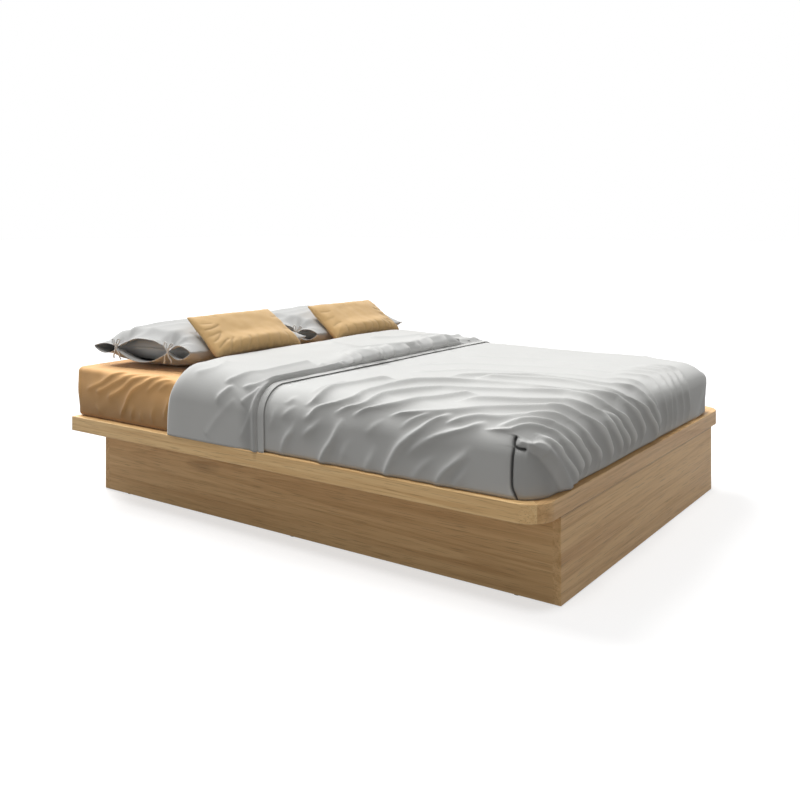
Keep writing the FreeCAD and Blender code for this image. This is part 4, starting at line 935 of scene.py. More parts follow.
# Turned-back end of the duvet: a wide double band with a soft rolled edge towards the pillows and
# a flat stitched hem towards the foot. It is the same quilt and cloth, folded over on itself, and
# it puckers behind the hem.
BAND_SIDE_SHARE = 0.24
BAND_STEP = 0.006
BAND_SHOULDER = 0.095
BAND_HEM = ((0.0, 0.0004), (0.0, 0.0036), (0.010, 0.0042), (0.0135, 0.0018))
BAND_NEAR_BODY = ((0.0140, 0.0060), (0.018, 0.0125), (0.030, 0.0155), (0.052, 0.0120), (0.075, 0.0125),
                  (0.11, 0.020), (0.16, 0.027), (0.22, 0.032), (0.30, 0.036), (0.37, 0.038), (0.42, 0.038),
                  (0.450, 0.029), (0.460, 0.008))
BAND_FAR_BODY = ((0.0122, 0.0070), (0.0125, 0.018), (0.022, 0.030), (0.044, 0.038), (0.075, 0.041),
                 (0.12, 0.039), (0.17, 0.035), (0.22, 0.036), (0.30, 0.039), (0.37, 0.042), (0.42, 0.042),
                 (0.450, 0.032), (0.460, 0.008))
BAND_UNDER = ((0.452, -0.012), (0.43, -0.0225), (0.405, -0.0235), (0.401, -0.012), (0.396, 0.0), (0.2, 0.0))
BAND_SPANS = (4, 4, 4, 4, 5, 6, 6, 6, 7, 8, 8, 8, 8, 8, 7, 6, 5, 5, 5, 4, 4, 6, 8)
BAND_FAR_FROM = -0.42
BAND_FAR_TO = -0.16
BAND_FLAT_FRONT = 0.80
BAND_DRAW_BACK = 0.037
BAND_DRAW_PLACE = 0.24
BAND_DRAW_REACH = 0.11
BAND_FOLD_HEIGHT = 0.0145
BAND_FRONT_SHADE = 0.34
BAND_EDGE_PAINTED_HIGHLIGHT = 1.0
BAND_FOLD_STEEP = 0.0060
BAND_FOLD_GENTLE = 0.013
BAND_FADE = 0.04
PUCKER_FADE = 0.012
PUCKER_POINTS = 3
BAND_FAR_SHIFT = 0.03
BAND_SWELLS = ((0.005, (0.34, 0.20, 0.3), 25), (0.0022, 0.09, 26))
BAND_SINK = 0.002
# How the band thins at the sides, lies flat at its far end and sinks underneath.
BAND_OVERHANG = 0.001
BAND_CLEARANCE = 0.0012
BAND_SIDE_POWER = 1.5
BAND_HEM_PART = (0.012, 0.05)
BAND_HEAD_PART = (0.10, 0.20)
BAND_FRONT_STRETCH = (0.40, 0.52)
BAND_FLAT_HEAD = 0.5
BAND_HEAD_STRETCH = (0.50, 0.70)
BAND_BODY_PART = (0.004, 0.008)
BAND_UNDER_SIDE = 0.45
BAND_UNDER_TOP = 0.45
BAND_UNDER_SHOULDER = 3.6
BAND_LOFT = 0.012
BAND_DRAW_PART = (0.10, 0.44)
BAND_RISE_SIDE = 0.45
BAND_RISE_TOP = 0.55
# The front roll is pushed out by its folds and has painted shade, less on the ridges. The head edge has a
# painted highlight.
FRONT_PUSH = 1.3
FRONT_PUSH_PART = (0.025, 0.08)
FRONT_SHADE_FROM = (0.008, 0.022)
FRONT_SHADE_TO = (0.05, 0.11)
FRONT_SHADE_LOFT = (0.2, 0.8)
FRONT_RIDGE_SHARE = 0.75
FRONT_RIDGE_PART = (0.3, 0.9)
EDGE_LIGHT_FROM = 0.011
EDGE_LIGHT_TO = 0.005
HEM_LINE = 0.006
HEM_LINE_LIFT = 0.003
# Each fold has its strength and its course: across the bed with the sides laid flat, and along it.
BAND_FOLDS = (
    (0.5, ((-0.776, 0.365), (-0.753, 0.306), (-0.719, 0.284), (-0.633, 0.351))),
    (0.9, ((-0.801, 0.198), (-0.756, 0.148), (-0.691, 0.124), (-0.559, 0.128), (-0.400, 0.138))),
    (0.9, ((-0.808, 0.117), (-0.759, 0.055), (-0.713, 0.036), (-0.638, 0.034), (-0.550, 0.040),
        (-0.411, 0.044), (-0.309, 0.054))),
    (1.0, ((-0.890, 0.215), (-0.852, 0.184), (-0.829, 0.163), (-0.790, 0.140))),
    (0.7, ((-0.875, 0.096), (-0.818, 0.052), (-0.780, 0.042))),
    (0.5, ((-1.000, 0.105), (-0.912, 0.055), (-0.841, 0.032), (-0.729, 0.024))),
    (0.4, ((-1.000, 0.260), (-0.930, 0.200), (-0.860, 0.120))),
    (1.0, ((-0.041, 0.350), (-0.060, 0.280), (-0.068, 0.170), (0.004, 0.122), (0.082, 0.062), (0.136, 0.058),
           (0.220, 0.071))),
    (0.8, ((-0.184, 0.179), (-0.166, 0.118), (-0.139, -0.010))),
    (0.7, ((-0.397, 0.102), (-0.387, 0.062), (-0.350, -0.010))),
    (0.8, ((-0.058, 0.136), (-0.116, 0.072), (-0.180, -0.010))),
    (0.7, ((-0.060, 0.100), (-0.093, 0.060), (-0.140, -0.010))),
    (0.8, ((0.028, 0.110), (-0.010, 0.072), (-0.075, -0.010))),
    (0.8, ((0.129, 0.163), (0.096, 0.113), (0.045, -0.010))),
    (0.8, ((0.308, 0.109), (0.276, 0.072), (0.208, -0.010))),
    (0.7, ((-0.238, 0.120), (-0.264, 0.080), (-0.330, -0.010))),
    (0.7, ((-0.171, 0.140), (-0.208, 0.085), (-0.282, -0.010))),
    (0.6, ((0.170, 0.140), (0.150, 0.080), (0.140, -0.010))),
    (0.7, ((0.420, 0.120), (0.380, 0.070), (0.322, -0.010))),
    (0.7, ((0.520, 0.110), (0.485, 0.065), (0.460, 0.030))),
    (0.7, ((0.600, 0.120), (0.570, 0.070), (0.560, 0.030))),
    (0.5, ((0.680, 0.180), (0.640, 0.100), (0.640, 0.030))),
    (0.6, ((0.180, 0.330), (0.260, 0.260), (0.360, 0.230), (0.460, 0.200))),
)
STITCH_PITCH = 0.0065
STITCH_LENGTH = 0.0042
STITCH_RADIUS = 0.0005
STITCH_SHOW = 0.5


def smooth_loop(corners, counts):
    """Points on a closed curve through the corners, with a count of points for each span."""
    knots = np.array(corners)
    spans = len(knots)
    spots = []
    for i, count in enumerate(counts):
        neighbours = [knots[(i + k) % spans] for k in (-1, 0, 1, 2)]
        spots += [bend_through(*neighbours, t) for t in np.arange(count) / count]
    return np.array(spots)


def draped_path(left, right, foot, top, radius, step):
    """A line over the bed from side to side, flat and with round shoulders, and its normals."""
    flat = [(left, height) for height in lines(foot, top, step)]
    flat += [(across, top) for across in lines(left, right, step)[1:-1]]
    flat += [(right, height) for height in lines(foot, top, step)[::-1]]
    flat = np.array(flat)
    spots = np.column_stack((flat[:, 0], np.zeros(len(flat)), flat[:, 1]))
    return flat, *rounded(spots, (left, -1, foot - radius), (right, 1, top), radius, radius, radius)


def made_mesh(holder, name):
    """The smooth-shaded mesh that a holder's nodes or curve make. The holder is removed."""
    mesh = bpy.data.meshes.new_from_object(holder.evaluated_get(bpy.context.evaluated_depsgraph_get()))
    bpy.data.objects.remove(holder)
    mesh.name = name
    mesh.polygons.foreach_set("use_smooth", np.ones(len(mesh.polygons), bool))
    return mesh


def stitch_row(name, line, closed, material):
    """A row of short stitches along a line of points, made by Geometry Nodes."""
    tree = bpy.data.node_groups.new(name + "_nodes", "GeometryNodeTree")
    tree.interface.new_socket("Line", in_out="INPUT", socket_type="NodeSocketGeometry")
    sizes = {"Pitch": STITCH_PITCH, "Length": STITCH_LENGTH, "Radius": STITCH_RADIUS}
    sockets = {}
    for key in sizes:
        sockets[key] = tree.interface.new_socket(key, in_out="INPUT", socket_type="NodeSocketFloat")
    tree.interface.new_socket("Stitches", in_out="OUTPUT", socket_type="NodeSocketGeometry")
    start = tree.nodes.new("NodeGroupInput")
    end = tree.nodes.new("NodeGroupOutput")
    run = tree.nodes.new("GeometryNodeMeshToCurve")
    spaced = tree.nodes.new("GeometryNodeResampleCurve")
    spaced.mode = "LENGTH"
    thread = tree.nodes.new("GeometryNodeMeshUVSphere")
    thread.inputs["Segments"].default_value = 6
    thread.inputs["Rings"].default_value = 4
    size = tree.nodes.new("ShaderNodeCombineXYZ")
    half = tree.nodes.new("ShaderNodeMath")
    half.operation = "MULTIPLY"
    half.inputs[1].default_value = 0.5
    shaped = tree.nodes.new("GeometryNodeTransform")
    tangent = tree.nodes.new("GeometryNodeInputTangent")
    turned = tree.nodes.new("FunctionNodeAlignRotationToVector")
    turned.axis = "X"
    placed = tree.nodes.new("GeometryNodeInstanceOnPoints")
    real = tree.nodes.new("GeometryNodeRealizeInstances")
    coloured = tree.nodes.new("GeometryNodeSetMaterial")
    coloured.inputs["Material"].default_value = material
    links = ((start, "Line", run, "Mesh"), (run, "Curve", spaced, "Curve"),
             (start, "Pitch", spaced, "Length"), (start, "Length", half, 0),
             (half, 0, size, "X"), (start, "Radius", size, "Y"),
             (start, "Radius", size, "Z"), (thread, "Mesh", shaped, "Geometry"),
             (size, "Vector", shaped, "Scale"), (tangent, "Tangent", turned, "Vector"),
             (spaced, "Curve", placed, "Points"), (shaped, "Geometry", placed, "Instance"),
             (turned, "Rotation", placed, "Rotation"), (placed, "Instances", real, "Geometry"),
             (real, "Geometry", coloured, "Geometry"), (coloured, "Geometry", end, "Stitches"))
    for source, give, target, take in links:
        tree.links.new(source.outputs[give], target.inputs[take])
    edges = [(i, i + 1) for i in range(len(line) - 1)] + ([(len(line) - 1, 0)] if closed else [])
    mesh = bpy.data.meshes.new(name + "_line")
    mesh.from_pydata(line.tolist(), edges, [])
    holder = standing(name + "_line", mesh)
    sewing = holder.modifiers.new("sewing", "NODES")
    sewing.node_group = tree
    for key, value in sizes.items():
        sewing[sockets[key].identifier] = value
    return standing(name, made_mesh(holder, name))


path_flat, path, path_out = draped_path(duvet_low[0] - BAND_OVERHANG, duvet_high[0] + BAND_OVERHANG,
                                        duvet_low[2], DUVET_TOP + BAND_CLEARANCE, BAND_SHOULDER, BAND_STEP)
ring = smooth_loop(BAND_HEM + BAND_NEAR_BODY + BAND_UNDER, BAND_SPANS)
far_ring = smooth_loop(BAND_HEM + BAND_FAR_BODY + BAND_UNDER, BAND_SPANS)
across = np.repeat(np.arange(len(path)), len(ring))
around = np.tile(np.arange(len(ring)), len(path))
upright = np.clip(path_out[across, 2], 0, 1)
arc = np.concatenate(((0,), np.cumsum(np.linalg.norm(np.diff(path, axis=0), axis=1))))
fall = DUVET_TOP + BAND_CLEARANCE - path_flat[:, 1]
spread = (path_flat[:, 0] + np.sign(path_flat[:, 0]) * fall)[across]
far_share = ease(spread, BAND_FAR_FROM, BAND_FAR_TO)[:, None]
section = ring[around] * (1 - far_share) + far_ring[around] * far_share
behind_hem, lift = section.T
thickness = BAND_SIDE_SHARE + (1 - BAND_SIDE_SHARE) * upright ** BAND_SIDE_POWER
head_part = ease(behind_hem, *BAND_HEAD_PART)
thickness = 1 + (thickness - 1) * ease(behind_hem, *BAND_HEM_PART)
flat_front = BAND_FLAT_FRONT * ease(spread, *BAND_FRONT_STRETCH) * (1 - head_part)
flattened = flat_front + BAND_FLAT_HEAD * ease(spread, *BAND_HEAD_STRETCH) * head_part
thickness *= 1 - flattened * ease(lift, *BAND_BODY_PART)
shoulder_share = 1 - BAND_UNDER_SHOULDER * upright ** 2 * (1 - upright ** 2)
sunk = (BAND_UNDER_SIDE + BAND_UNDER_TOP * upright) * shoulder_share
loft = np.clip(lift / BAND_LOFT, 0, 1)
lift = np.where(lift > 0, lift * thickness, lift * sunk)
band_points = path[across] + path_out[across] * lift[:, None]
from_end = np.minimum(arc, arc[-1] - arc)[across]
draw_back = BAND_DRAW_BACK * np.exp(-((from_end - BAND_DRAW_PLACE) / BAND_DRAW_REACH) ** 2)
band_points[:, 1] = BAND_FOOT + behind_hem - draw_back * ease(behind_hem, *BAND_DRAW_PART)
band_plan = np.column_stack((spread, band_points[:, 1]))
rises = []
for strength, course in BAND_FOLDS:
    fade = BAND_FADE if len(course) > PUCKER_POINTS else PUCKER_FADE
    rises.append(strength * fold_rise(band_plan, course, BAND_FOLD_STEEP, BAND_FOLD_GENTLE, -1, fade))
    if course[0][0] < FAR_FOLDS_FROM:
        far_course = [(mirror - sideways, FAR_LENGTH * lengthwise + BAND_FAR_SHIFT)
                      for sideways, lengthwise in course]
        far_rise = fold_rise(band_plan, far_course, BAND_FOLD_STEEP, BAND_FOLD_GENTLE, 1, BAND_FADE)
        rises.append(strength * far_rise)
fold_share = crowded(rises)
puff = swells(band_points, BAND_SWELLS) - BAND_SINK
band_rise = loft * (BAND_FOLD_HEIGHT * fold_share + puff) * (BAND_RISE_SIDE + BAND_RISE_TOP * upright)
band_points += path_out[across] * band_rise[:, None]
band_points[:, 1] -= FRONT_PUSH * band_rise * (1 - ease(behind_hem, *FRONT_PUSH_PART)) * upright
band_points[:, 1] += hem_wave(band_points)
rows, count = len(path), len(ring)
index = np.arange(rows * count).reshape(rows, count)
after = np.roll(index, -1, axis=1)
band_faces = np.stack((index[:-1], after[:-1], after[1:], index[1:]), axis=2).reshape(-1, 4)
caps = [list(index[0][::-1]), list(index[-1])]
band = piece("duvet_band", band_points, list(band_faces) + caps, grey)
# Painted shade on the front roll, less on the ridges of its folds, and a painted highlight along the head
# edge.
band_front_shade = ease(behind_hem, *FRONT_SHADE_FROM) * (1 - ease(behind_hem, *FRONT_SHADE_TO))
band_front_shade = band_front_shade * ease(loft, *FRONT_SHADE_LOFT)
head_edge = behind_hem.max()
band_edge_highlight = (1 - upright) * ease(behind_hem, head_edge - EDGE_LIGHT_FROM, head_edge - EDGE_LIGHT_TO)
front_valley_shade = 1 - FRONT_RIDGE_SHARE * ease(fold_share, *FRONT_RIDGE_PART)
tinted(band, "crest", BAND_EDGE_PAINTED_HIGHLIGHT * band_edge_highlight)
tinted(band, "crease", BAND_FRONT_SHADE * band_front_shade * front_valley_shade)
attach(band, "mattress")
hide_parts("duvet")
hem_middle = int(np.argmin(np.abs(ring[:, 0] - HEM_LINE) + (ring[:, 1] < HEM_LINE_LIFT)))
hem_line = band_points[index[2:-2, hem_middle]] + path_out[2:-2] * STITCH_RADIUS * STITCH_SHOW
band_stitches = stitch_row("duvet_band_stitches", hem_line, False, grey)
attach(band_stitches, "mattress")
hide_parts("duvet")

# Pillows: a grey cotton case over a paler insert, open at the near end, where two pairs of cords
# draw the lips of the mouth together. The case is sewn on three sides and swells over the insert.
PILLOW_LENGTH = 0.69
PILLOW_WIDTH = 0.485
PILLOW_RISE = 0.090
PILLOW_FALL = 0.0755
PILLOW_DRAW_IN = 0.014
PILLOW_CENTER = np.array((-0.340, 0.7635, 0.5714))
PILLOW_PITCH = 0.730
CASE_WALL = 0.002
CASE_ROWS = 110
CASE_COUNT = 160
CASE_HEM = 0.020
# The case: rows crowd at the mouth, rays run from the ties, sags hang slantwise, a seam marks the hem.
CASE_CROWDING = 1.25
CASE_LEAST = 0.0008
CASE_SWELL = 0.0035
CASE_SWELL_SIZE = 0.09
CASE_SEEDS = (31, 38)
RAY_COUNT = 8
RAY_HEIGHT = 0.008
RAY_LEVEL = 0.35
RAY_REACH = 0.12
RAY_START = 0.04
RAY_TWIST = 1.6
RAY_WAVER = 0.3
RAY_WAVER_SIZE = 0.12
SAG_HEIGHT = 0.004
SAG_PITCH = 0.11
SAG_SLANT = 0.8
SAG_WAVER_SIZE = 0.2
SAG_PART = (0.01, 0.05)
HEM_STEP = 0.0012
HEM_STEP_WIDTH = 0.004
HEM_SEAM = 0.0008
HEM_SEAM_WIDTH = 0.003
UNDER_SHARE = 0.3
SINK_SHARE = 0.5
MOUTH_TURN = math.radians(8)
TIE_SHARES = (-0.58, 0.49)
UPPER_LIPS = (0.018, 0.041, 0.012)
LOWER_LIPS = (0.026, 0.047, 0.022)
LIP_PINCH = 0.004
LIP_JUT = 0.010
LIP_JUT_FADE = 0.06
LIP_FLOOR = 0.5
LIP_ROUNDNESS = 0.8
MOUTH_PART = (0.012, 0.12)
MOUTH_TURN_FADE = 0.5
UPPER_FULLNESS = (3.0, 2.1)
UPPER_POWER = (0.62, 0.85)
LOWER_FULLNESS = 3.4
LOWER_POWER = 0.45
CROWN_PLACES = (0, 0.03, 0.10, 0.28, 0.5, 0.75, 0.93, 0.985, 1)
UPPER_CROWN = (0.45, 0.62, 0.80, 0.96, 1, 0.93, 0.64, 0.26, 0.02)
LOWER_CROWN = (0.50, 0.66, 0.86, 0.99, 1, 0.98, 0.72, 0.28, 0.02)
INSERT_START = 0.055
INSERT_END = 0.97
INSERT_ROOM = 0.020
INSERT_GAP = 0.005
INSERT_ROWS = 60
INSERT_SQUARENESS = 8
KNOT_GAP = 0.002
MILLIMETRE = 0.001
TIE_RADIUS = 0.0028
# Strands of a bow in millimetres: along the mouth, up and out of it. Two loops, two tails, a wrap.
BOW = (((0, 0, 4), (-8, 10, 7), (-19, 24, 6), (-17, 36, 3), (-6, 34, 5), (-2, 14, 8), (1, 0, 6)),
       ((1, 0, 4), (5, 12, 8), (17, 20, 7), (24, 29, 3), (16, 35, 4), (6, 18, 7), (0, 0, 7)),
       ((0, 0, 5), (-6, -10, 8), (-16, -22, 6), (-15, -36, 4), (-22, -45, 2)),
       ((0, 0, 5), (5, -9, 8), (7, -22, 7), (16, -33, 4), (14, -42, 2)),
       ((-4, -3, 4), (-3, 3, 7), (1, 4, 8), (4, 0, 7), (2, -4, 7), (-3, -3, 7), (-4, 2, 4)))
CASE_PALE = (0.475, 0.475, 0.465, 1)
CASE_SHADE = (0.39, 0.39, 0.38, 1)
TIE_PALE = (0.68, 0.675, 0.66, 1)
TIE_SHADE = (0.56, 0.555, 0.54, 1)
INSERT_PALE = (0.70, 0.70, 0.69, 1)
INSERT_SHADE = (0.56, 0.56, 0.55, 1)


def lip_height(v, lips):
    """Half height of the open mouth across the case: three lobes between the sides and the two ties."""
    stops = (-1,) + TIE_SHARES + (1,)
    height = np.full_like(v, LIP_PINCH)
    for start, end, lobe in zip(stops, stops[1:], lips):
        share = np.clip((v - start) / (end - start), 0, 1)
        height = np.maximum(height, LIP_PINCH * LIP_FLOOR + lobe * np.sin(math.pi * share) ** LIP_ROUNDNESS)
    return height


def case_form(u, v, upper, wall):
    """Height above or below the seam of a case, at a share u of its length and v of its half width."""
    crown = np.interp(u, CROWN_PLACES, UPPER_CROWN if upper else LOWER_CROWN)
    fullness = np.where(v > 0, *UPPER_FULLNESS) if upper else LOWER_FULLNESS
    power = np.where(v > 0, *UPPER_POWER) if upper else LOWER_POWER
    body = crown * (PILLOW_RISE if upper else PILLOW_FALL) * (1 - np.abs(v) ** fullness) ** power
    mouth = lip_height(v, UPPER_LIPS if upper else LOWER_LIPS)
    share = ease(u, *MOUTH_PART)
    height = np.maximum(mouth * (1 - share) + body * share - wall, CASE_LEAST)
    return height if upper else -height


def ring_places(rows):
    """Places across a case, from -1 to 1, round each of its rings, and which are above the seam."""
    angle = np.linspace(0, math.pi, CASE_COUNT // 2, endpoint=False)
    v = np.tile(np.concatenate((-np.cos(angle), np.cos(angle))), rows)
    return v, np.tile(np.repeat((True, False), CASE_COUNT // 2), rows)


def half_width(u, room):
    """Half the width of a pillow, whose sides draw in towards its middle."""
    return PILLOW_WIDTH / 2 - PILLOW_DRAW_IN * (1 - (2 * u - 1) ** 2) - room


def either_side(u, v, upper, wall):
    """Heights above and below the seam."""
    return np.where(upper, case_form(u, v, True, wall), case_form(u, v, False, wall))


def mouth_slant(u):
    """How far the rings of a pillow slant, most at the mouth."""
    return np.sin(MOUTH_TURN * (1 - ease(u, 0.0, MOUTH_TURN_FADE)))


def case_points(wall, seed):
    """Rings of points round a pillow from its mouth to its far end."""
    u = np.repeat(np.linspace(0, 1, CASE_ROWS) ** CASE_CROWDING, CASE_COUNT)
    v, upper = ring_places(CASE_ROWS)
    across = v * half_width(u, 2 * wall)
    height = either_side(u, v, upper, wall)
    length = (u - 0.5) * PILLOW_LENGTH - mouth_slant(u) * across
    length = length - LIP_JUT * np.where(upper, 0, 1) * (1 - ease(u, 0.0, LIP_JUT_FADE)) * (1 - v * v)
    points = np.column_stack((length, across, height))
    flat = points * (1, 1, 0)
    rise = CASE_SWELL * waver(points, CASE_SWELL_SIZE, seed + 2)
    for tie in TIE_SHARES:
        spot = np.array((-PILLOW_LENGTH / 2 - math.sin(MOUTH_TURN) * tie * PILLOW_WIDTH / 2,
                         tie * PILLOW_WIDTH / 2))
        away = points[:, :2] - spot
        distance = np.linalg.norm(away, axis=1)
        twist = RAY_TWIST * distance
        bearing = np.arctan2(away[:, 1], away[:, 0]) + twist + RAY_WAVER * waver(flat, RAY_WAVER_SIZE, seed)
        rays = (0.5 + 0.5 * np.cos(bearing * RAY_COUNT)) ** 2
        faded = np.exp(-distance / RAY_REACH)
        rise += RAY_HEIGHT * (rays - RAY_LEVEL) * faded * ease(distance, 0.0, RAY_START)
    slantwise = (points[:, 0] * SAG_SLANT + points[:, 1]) / SAG_PITCH
    turns = slantwise + waver(flat, SAG_WAVER_SIZE, seed + 1)
    sag = (0.5 + 0.5 * np.cos(2 * math.pi * turns)) ** 2
    rise += SAG_HEIGHT * sag * ease(np.abs(height), *SAG_PART)
    from_mouth = u * PILLOW_LENGTH
    seam = HEM_SEAM * np.exp(-((from_mouth - CASE_HEM) / HEM_SEAM_WIDTH) ** 2)
    rise += HEM_STEP * (1 - ease(from_mouth, CASE_HEM - HEM_STEP_WIDTH, CASE_HEM)) - seam
    rise = np.maximum(rise, -np.abs(height) * SINK_SHARE)
    points[:, 2] += np.sign(height) * rise * np.where(upper, 1.0, UNDER_SHARE)
    points[:, 2] = np.maximum(points[:, 2], -PILLOW_FALL + wall)
    return points


def tube_faces(rows, count):
    """Faces between rings of points."""
    index = np.arange(rows * count).reshape(rows, count)
    after = np.roll(index, -1, axis=1)
    return np.stack((index[:-1], index[1:], after[1:], after[:-1]), axis=2).reshape(-1, 4)


def insert_points():
    """Rings of points round the pad inside a case, which stops short of the mouth."""
    share = np.repeat((1 - np.cos(np.linspace(0, math.pi, INSERT_ROWS))) / 2, CASE_COUNT)
    v, upper = ring_places(INSERT_ROWS)
    start = INSERT_START / PILLOW_LENGTH
    u = start + (INSERT_END - start) * share
    half = half_width(u, INSERT_ROOM)
    ends = np.clip(1 - (2 * share - 1) ** INSERT_SQUARENESS, 0, 1) ** 0.5
    height = either_side(u, v, upper, INSERT_GAP)
    length = (u - 0.5) * PILLOW_LENGTH - mouth_slant(u) * v * half
    points = np.column_stack((length, v * half, height * ends))
    points[:, 2] = np.clip(points[:, 2], -PILLOW_FALL + INSERT_GAP, PILLOW_RISE - INSERT_GAP)
    return points


def sewn_end(ring):
    """Faces that close a ring of points, folded flat, along its seam."""
    half = len(ring) // 2
    return np.array([(ring[i], ring[-i], ring[-i - 1], ring[i + 1]) for i in range(1, half - 1)])


def cord_mesh(name, strands, radius, material):
    """Round cord along smooth lines, each given by a few points."""
    curve = bpy.data.curves.new(name, "CURVE")
    curve.dimensions = "3D"
    curve.bevel_depth = radius
    curve.bevel_resolution = 2
    curve.use_fill_caps = True
    for strand in strands:
        spline = curve.splines.new("NURBS")
        spline.points.add(len(strand) - 1)
        for point, spot in zip(spline.points, strand):
            point.co = (*spot, 1)
        spline.order_u = 3
        spline.use_endpoint_u = True
        spline.resolution_u = 6
    mesh = made_mesh(standing(name + "_line", curve), name)
    mesh.materials.clear()
    mesh.materials.append(material)
    return standing(name, mesh)


def bow_strands(spot, flip):
    """Two loops, two tails and a wrap of cord, tied in a bow at a spot on the lips of the case."""
    out = np.array((-1.0, 0, 0))
    along = np.array((-math.sin(MOUTH_TURN), math.cos(MOUTH_TURN), 0)) * flip
    up = np.array((0, 0, 1.0))
    return [[spot + (along * a + up * b + out * c) * MILLIMETRE for a, b, c in strand]
            for strand in BOW]


insert_cloth = cloth("insert_cotton", INSERT_PALE, INSERT_SHADE, thread=0.0010, roughness=0.85, nap=0.1)
case_cloth = cloth("pillow_cotton", CASE_PALE, CASE_SHADE, thread=0.0010, roughness=0.82, nap=0.2)
tie_cotton = cloth("tie_cord", TIE_PALE, TIE_SHADE, thread=0.0008, roughness=0.85, nap=0.2)
for step, hand in enumerate(("left", "right")):
    place = PILLOW_CENTER + (step * PILLOW_PITCH, 0, 0)
    outer = case_points(0.0, CASE_SEEDS[step]) + place
    inner = case_points(CASE_WALL, CASE_SEEDS[step]) + place
    end_ring = np.arange((CASE_ROWS - 1) * CASE_COUNT, CASE_ROWS * CASE_COUNT)
    skin = np.concatenate((tube_faces(CASE_ROWS, CASE_COUNT), sewn_end(end_ring)))
    case = piece("pillowcase_" + hand + "_cloth", *shell(outer, inner, skin), case_cloth)
    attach(case, "pillow_" + hand)
    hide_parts("pillowcase_" + hand)
    row_places = np.linspace(0, 1, CASE_ROWS) ** CASE_CROWDING * PILLOW_LENGTH
    hem_row = int(np.argmin(np.abs(row_places - CASE_HEM)))
    hem_ring = outer[hem_row * CASE_COUNT:(hem_row + 1) * CASE_COUNT]
    stitches = stitch_row("pillowcase_" + hand + "_stitches", hem_ring, True, case_cloth)
    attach(stitches, "pillow_" + hand)
    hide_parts("pillowcase_" + hand)
    last_ring = np.arange((INSERT_ROWS - 1) * CASE_COUNT, INSERT_ROWS * CASE_COUNT)
    ends = (sewn_end(np.arange(CASE_COUNT))[:, ::-1], sewn_end(last_ring))
    pad_faces = np.concatenate((tube_faces(INSERT_ROWS, CASE_COUNT), *ends))
    pad = piece("pillow_insert_" + hand + "_pad", insert_points() + place, pad_faces, insert_cloth)
    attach(pad, "pillow_" + hand)
    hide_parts("pillow_insert_" + hand)
    strands = []
    for number, tie in enumerate(TIE_SHARES):
        aside = tie * PILLOW_WIDTH / 2
        knot = place + (-PILLOW_LENGTH / 2 - math.sin(MOUTH_TURN) * aside - KNOT_GAP, aside, 0)
        strands += bow_strands(knot, 1 if number else -1)
    ties = cord_mesh("pillow_ties_" + hand + "_cord", strands, TIE_RADIUS, tie_cotton)
    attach(ties, "pillow_" + hand)
    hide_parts("pillow_ties_" + hand)

# Cushions: two rectangles of ochre cotton sewn together at a knife edge and stuffed, so the sides
# pull in between pointed corners and the cloth puckers along the seam. They lean on the pillows.
CUSHION_CUT = (0.50, 0.25)
CUSHION_SIZE = (0.48, 0.235, 0.066)
CUSHION_TAPER = 0.022
CUSHION_STEP = 0.008
CUSHION_FRAMES = 8
CUSHION_PRESSURES = (5.0, 5.3)
CUSHION_DOME = 0.004
CUSHION_LEAN = math.radians(37)
CUSHION_CENTER = np.array((-0.350, 0.5484, 0.6288))
CUSHION_PALE = (0.67, 0.435, 0.185, 1)
CUSHION_SHADE = (0.59, 0.37, 0.15, 1)
CUSHION_SHIFT = ((0.012, 0, -0.006), (-0.006, 0, -0.013))
CUSHION_SETTLED = 0.55
CUSHION_LOWER_PART = (0.05, 0.42)
CUSHION_SEAM = 0.012
CUSHION_SWELLS = (((0.0025, 0.08, 57), (0.0015, 0.035, 61)), ((0.0025, 0.08, 58), (0.0015, 0.035, 62)))
# Painted shade along the lower seam, where the cover turns under, in uneven patches.
LOW_EDGE_WIDTH = 0.030
LOW_EDGE_PART = (0.25, 0.46)
LOW_EDGE_LEVEL = 0.65
LOW_EDGE_WAVER = 0.5
LOW_EDGE_SIZE = 0.018
LOW_EDGE_SEEDS = (63, 64)
CRUMPLE_SHADE = 0.5
CRUMPLE_SHIFT = 0.008
CRUMPLE_FADE = 0.02
CRUMPLE_DEPTH = 0.0036
# How much of the painted shade in the crumples and along the lower seam reaches the cloth.
CUSHION_PAINTED_SHADE = 0.5
CRUMPLE_WIDTH = 0.0040
